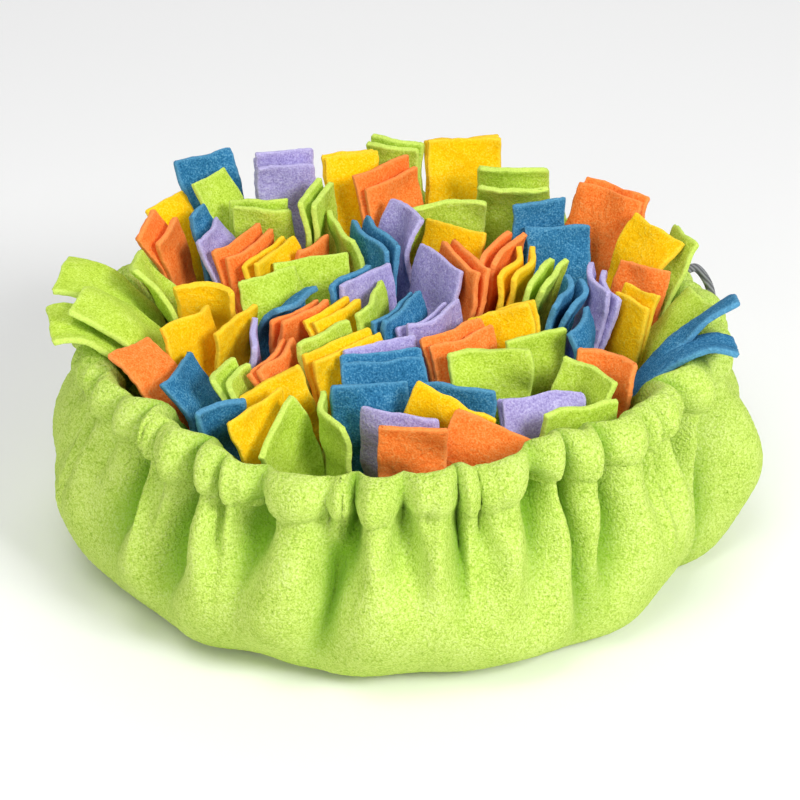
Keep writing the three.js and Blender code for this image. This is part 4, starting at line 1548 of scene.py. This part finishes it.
@dataclass
class HeapEase:
    """Eases the tabs apart as a hand would, by small changes of place, cup, curl and twist.

    Sizes are in millimetres and degrees. Tabs that stand get a little curl, cup and twist of their own first.
    """

    heap: TabHeap
    bag: BVHTree
    # The search, on a coarse heap with a little air round each tab
    seed: int = 77
    sweeps: int = 6
    tries: int = 26
    fresh_share: float = 0.5
    coarse_across: int = 12
    coarse_along: int = 20
    clearance: float = 0.3
    own_above: float = 95.0
    # What standing tabs are given first
    standing_lean: float = 45.0
    open_curl: float = 20.0
    free_curl: float = 16.0
    free_cup: float = 10.0
    free_twist: float = 15.0
    # Steps of a try, and how far they may add up
    cup_step: float = 12.0
    curl_step: float = 7.0
    twist_step: float = 8.0
    twist_most: float = 22.0
    edgeways: float = 3.0
    faceways: float = 2.0
    shift_most: float = 6.0
    # Cost of a lie away from its row
    stray_cost: float = 0.7
    curl_cost: float = 8.0

    def __post_init__(self) -> None:
        """Starts the random draws and makes the coarse heap that is tried."""
        self.rng = np.random.default_rng(self.seed)
        self.coarse = replace(
            self.heap,
            lines_across=self.coarse_across,
            lines_along=self.coarse_along,
            tip_thickness=self.heap.tip_thickness + self.clearance,
        )
        self.seeds = self.heap.seeds()

    def loosened(self, row: TabGroup) -> TabGroup:
        """A row with a little curl, cup and twist of its own.

        Args:
            row: The row of the table.

        Returns:
            The loosened row, or the same one if its tabs lie over the rim.
        """
        if row.lean >= self.standing_lean:
            return row
        curl, cup, twist = self.rng.uniform(-1, 1, 3) * (self.free_curl, self.free_cup, self.free_twist)
        if abs(row.curl) >= self.open_curl:
            curl = 0.0
        return row._replace(curl=row.curl + curl, cup=row.cup + cup, twist=twist)

    def nudged(self, group: TabGroup) -> TabGroup:
        """A group with its lie changed a little.

        Args:
            group: The group.

        Returns:
            The changed group.
        """
        cup, curl, twist = self.rng.normal(size=3) * (self.cup_step, self.curl_step, self.twist_step)
        edge, face = self.rng.uniform(-1, 1, 2) * (self.edgeways, self.faceways)
        along, across = self.heap.directions(group)
        shift = along * edge + across * face
        twist = float(np.clip(group.twist + twist, -self.twist_most, self.twist_most))
        return group._replace(
            x=group.x + shift[0],
            y=group.y + shift[1],
            cup=group.cup + cup,
            curl=group.curl + curl,
            twist=twist,
        )

    def probe(self, number: int, group: TabGroup) -> Probe:
        """Coarse mesh of a group.

        Args:
            number: The group's number in the table.
            group: Its lie.

        Returns:
            The mesh to test.
        """
        cloths = self.coarse.cloths(group, self.seeds[number])
        tops, corners, faces, start = [], [], [], 0
        for cloth in cloths:
            high = cloth.corners[:, 2] > self.own_above
            upper = [f for f in cloth.faces if high[f[0]] and high[f[2]]]
            tops.append(BVHTree.FromPolygons(cloth.corners.tolist(), upper))
            faces.extend([k + start for k in f] for f in cloth.faces)
            corners.append(cloth.corners)
            start += len(cloth.corners)
        own = sum(len(a.overlap(b)) for k, a in enumerate(tops) for b in tops[k + 1 :])
        points = np.concatenate(corners)
        tree = BVHTree.FromPolygons(points.tolist(), faces)
        return Probe(tree, points.min(axis=0), points.max(axis=0), own)

    def cuts(self, number: int, probe: Probe, others: Sequence[Probe]) -> int:
        """How many faces of a group cut into others.

        Args:
            number: The group's number in the table.
            probe: Its mesh.
            others: Meshes of all groups.

        Returns:
            Pairs of faces that cut each other, the bag's among them.
        """
        pairs = probe.own + len(probe.tree.overlap(self.bag))
        for other_number, other in enumerate(others):
            apart = (probe.low > other.high).any() or (other.low > probe.high).any()
            if other_number != number and not apart:
                pairs += len(probe.tree.overlap(other.tree))
        return pairs

    def strayed(self, group: TabGroup, row: TabGroup) -> float:
        """Cost of a lie that has gone away from its row of the table."""
        turned = abs(group.cup - row.cup) / self.cup_step + abs(group.curl - row.curl) / self.curl_cost
        return self.stray_cost * (turned + (abs(group.x - row.x) + abs(group.y - row.y)) / self.faceways)

    def run(self) -> list[TabGroup]:
        """Eases the whole heap.

        Returns:
            The groups in the order of the table.
        """
        rows = [self.loosened(row) for row in self.heap.groups]
        groups = list(rows)
        probes = [self.probe(number, group) for number, group in enumerate(groups)]
        for sweep in range(self.sweeps):
            cuts = [self.cuts(number, probe, probes) for number, probe in enumerate(probes)]
            LOG.info("easing %d: %d faces of %d groups cut", sweep, sum(cuts), sum(c > 0 for c in cuts))
            for number in sorted(range(len(groups)), key=lambda k: -cuts[k]):
                row = rows[number]
                now = self.cuts(number, probes[number], probes)
                if now == 0:
                    continue
                best = now + self.strayed(groups[number], row)
                for _ in range(self.tries):
                    group = self.nudged(row if self.rng.random() < self.fresh_share else groups[number])
                    if abs(group.x - row.x) + abs(group.y - row.y) > self.shift_most:
                        continue
                    probe = self.probe(number, group)
                    score = self.cuts(number, probe, probes) + self.strayed(group, row)
                    if score < best:
                        best, groups[number], probes[number] = score, group, probe
        return groups


@dataclass
class Drawcord:
    """Tail of the drawcord at the back right of the mouth, with its knot. Sizes are in millimetres.

    Each point of the route has its angle from the front, its distance from the bag's axis and its height.
    """

    finish: CordFinish = CordFinish()
    radius: float = 2.0
    route: tuple[Place, ...] = ((116, 147, 90), (116, 154, 90), (115, 160, 80), (114, 162, 64))
    points: int = 24
    roundness: int = 5
    knot_radius: float = 3.0
    knot_thin: float = 0.85
    knot_lift: float = 1.1
    knot_points: int = 72

    def line(self) -> np.ndarray:
        """Smooth line through the route's points.

        Returns:
            Points in millimetres, from the casing to the knot.
        """
        turn, reach, height = np.array(self.route, float).T
        turn = np.radians(turn)
        knots = np.stack([reach * np.sin(turn), -reach * np.cos(turn), height], axis=1)
        padded = np.concatenate([[2 * knots[0] - knots[1]], knots, [2 * knots[-1] - knots[-2]]])
        out = []
        for place in np.linspace(0, len(knots) - 1 - TINY, self.points):
            i = int(place)
            t = place - i
            a, b, c, d = padded[i : i + 4]
            curve = 2 * b + (c - a) * t + (2 * a - 5 * b + 4 * c - d) * t**2 + (3 * b - a - 3 * c + d) * t**3
            out.append(0.5 * curve)
        return np.array(out)

    def knot_line(self) -> np.ndarray:
        """Line of the knot about its middle: three loops, over and under each other.

        Returns:
            Points in millimetres.
        """
        t = np.linspace(0, 2 * math.pi, self.knot_points, endpoint=False)
        across, along = np.sin(t) + 2 * np.sin(2 * t), np.cos(t) - 2 * np.cos(2 * t)
        return np.stack([across, along, -self.knot_lift * np.sin(3 * t)], axis=1) * (self.knot_radius / 3.0)

    def tube(self, name: str, line: np.ndarray, radius: float, closed: bool) -> bpy.types.Object:
        """A round cord along a line.

        Args:
            name: Name of the piece.
            line: Points in millimetres.
            radius: Radius of the cord in millimetres.
            closed: Whether the line runs back into itself.

        Returns:
            The curve object.
        """
        data = bpy.data.curves.new(name, "CURVE")
        data.dimensions = "3D"
        data.bevel_depth = radius * MM
        data.bevel_resolution = self.roundness
        data.use_fill_caps = True
        spline = data.splines.new("POLY")
        spline.points.add(len(line) - 1)
        for point, place in zip(spline.points, line):
            point.co = (*(place * MM), 1.0)
        spline.use_cyclic_u = closed
        data.materials.append(self.finish.material())
        piece = bpy.data.objects.new(name, data)
        bpy.context.scene.collection.objects.link(piece)
        return piece

    def build(self) -> bpy.types.Object:
        """Returns:
            The tail's object.
        """
        line = self.line()
        tail = self.tube("drawcord_tail", line, self.radius, False)
        knot = self.tube("drawcord_knot", self.knot_line() + line[-1], self.radius * self.knot_thin, True)
        for piece in (tail, knot):
            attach(piece, "root")
        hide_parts("drawcord")
        return tail


class Lamp(NamedTuple):
    """A square soft light: its name, place and side in metres, and power in watts."""

    name: str
    place: Place
    side: float
    power: float


LAMPS = (
    Lamp("key_light", (1.05, -1.15, 1.15), 0.6, 25.0),
    Lamp("fill_light", (-0.8, -1.5, 0.8), 0.9, 6.5),
    Lamp("top_light", (-0.35, -0.75, 1.7), 1.0, 11.0),
    Lamp("back_light", (0.0, 1.9, 1.6), 2.2, 20.0),
)


@dataclass
class Studio:
    """Pale floor, soft light and the camera of the photograph. Sizes are in metres."""

    target: Place = (-0.0014, 0.0, 0.0565)
    elevation: float = 29.0
    distance: float = 1.1
    lens: float = 109.2
    sensor: float = 36.0
    near_end: float = 0.01
    lamps: Sequence[Lamp] = LAMPS
    lamp_target: Place = (0.0, 0.0, 0.06)
    surround: float = 0.24
    floor_size: float = 12.0
    floor_shade: float = 0.96
    floor_roughness: float = 0.9
    floor_gloss: float = 0.1

    def camera(self) -> bpy.types.Object:
        """Places the camera and makes it the scene's.

        Returns:
            The camera's object.
        """
        data = bpy.data.cameras.new("camera")
        data.lens = self.lens
        data.sensor_width = self.sensor
        data.clip_start = self.near_end
        camera = bpy.data.objects.new("camera", data)
        lift = math.radians(self.elevation)
        target = Vector(self.target)
        camera.location = target + self.distance * Vector((0.0, -math.cos(lift), math.sin(lift)))
        camera.rotation_euler = (target - camera.location).to_track_quat("-Z", "Y").to_euler()
        bpy.context.scene.collection.objects.link(camera)
        bpy.context.scene.camera = camera
        return camera

    def light(self, row: Lamp) -> bpy.types.Object:
        """Sets up one soft light, aimed at the bag.

        Args:
            row: The light.

        Returns:
            The light's object.
        """
        data = bpy.data.lights.new(row.name, "AREA")
        data.size = row.side
        data.energy = row.power
        lamp = bpy.data.objects.new(row.name, data)
        lamp.location = row.place
        aim = Vector(self.lamp_target) - Vector(row.place)
        lamp.rotation_euler = aim.to_track_quat("-Z", "Y").to_euler()
        bpy.context.scene.collection.objects.link(lamp)
        return lamp

    def floor(self) -> None:
        """Lays the pale floor."""
        half = self.floor_size / 2
        corners = [(-half, -half, 0), (half, -half, 0), (half, half, 0), (-half, half, 0)]
        mesh = bpy.data.meshes.new("floor")
        mesh.from_pydata(corners, [], [(0, 1, 2, 3)])
        material = bpy.data.materials.new("pale_floor")
        material.use_nodes = True
        shader = material.node_tree.nodes["Principled BSDF"]
        shader.inputs["Base Color"].default_value = (*[self.floor_shade] * 3, 1.0)
        shader.inputs["Roughness"].default_value = self.floor_roughness
        shader.inputs["Specular IOR Level"].default_value = self.floor_gloss
        mesh.materials.append(material)
        floor = bpy.data.objects.new("floor", mesh)
        bpy.context.scene.collection.objects.link(floor)

    def surroundings(self) -> None:
        """Sets the even light from all round."""
        world = bpy.data.worlds.new("studio")
        world.use_nodes = True
        background = world.node_tree.nodes["Background"]
        background.inputs["Color"].default_value = (1.0, 1.0, 1.0, 1.0)
        background.inputs["Strength"].default_value = self.surround
        bpy.context.scene.world = world

    def build(self) -> None:
        """Sets up the whole studio."""
        self.camera()
        self.floor()
        self.surroundings()
        for row in self.lamps:
            self.light(row)
        bpy.context.scene.view_settings.view_transform = "Standard"


def main() -> None:
    """Builds the pieces in order and reports each."""
    logging.basicConfig(level=logging.INFO, format="%(message)s")
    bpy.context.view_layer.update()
    Studio().build()
    LOG.info("drawcord: %s", Drawcord().build().name)
    bag = FleeceBag()
    skin = bag.surface()
    LOG.info("bag: %d faces", len(bag.build(skin).data.polygons))
    heap = TabHeap()
    eased = HeapEase(heap, BVHTree.FromPolygons(skin.corners.tolist(), skin.faces)).run()
    for piece in replace(heap, groups=eased).build():
        LOG.info("tuft %s: %d faces", piece.name, len(piece.data.polygons))


if __name__ == "__main__":
    main()
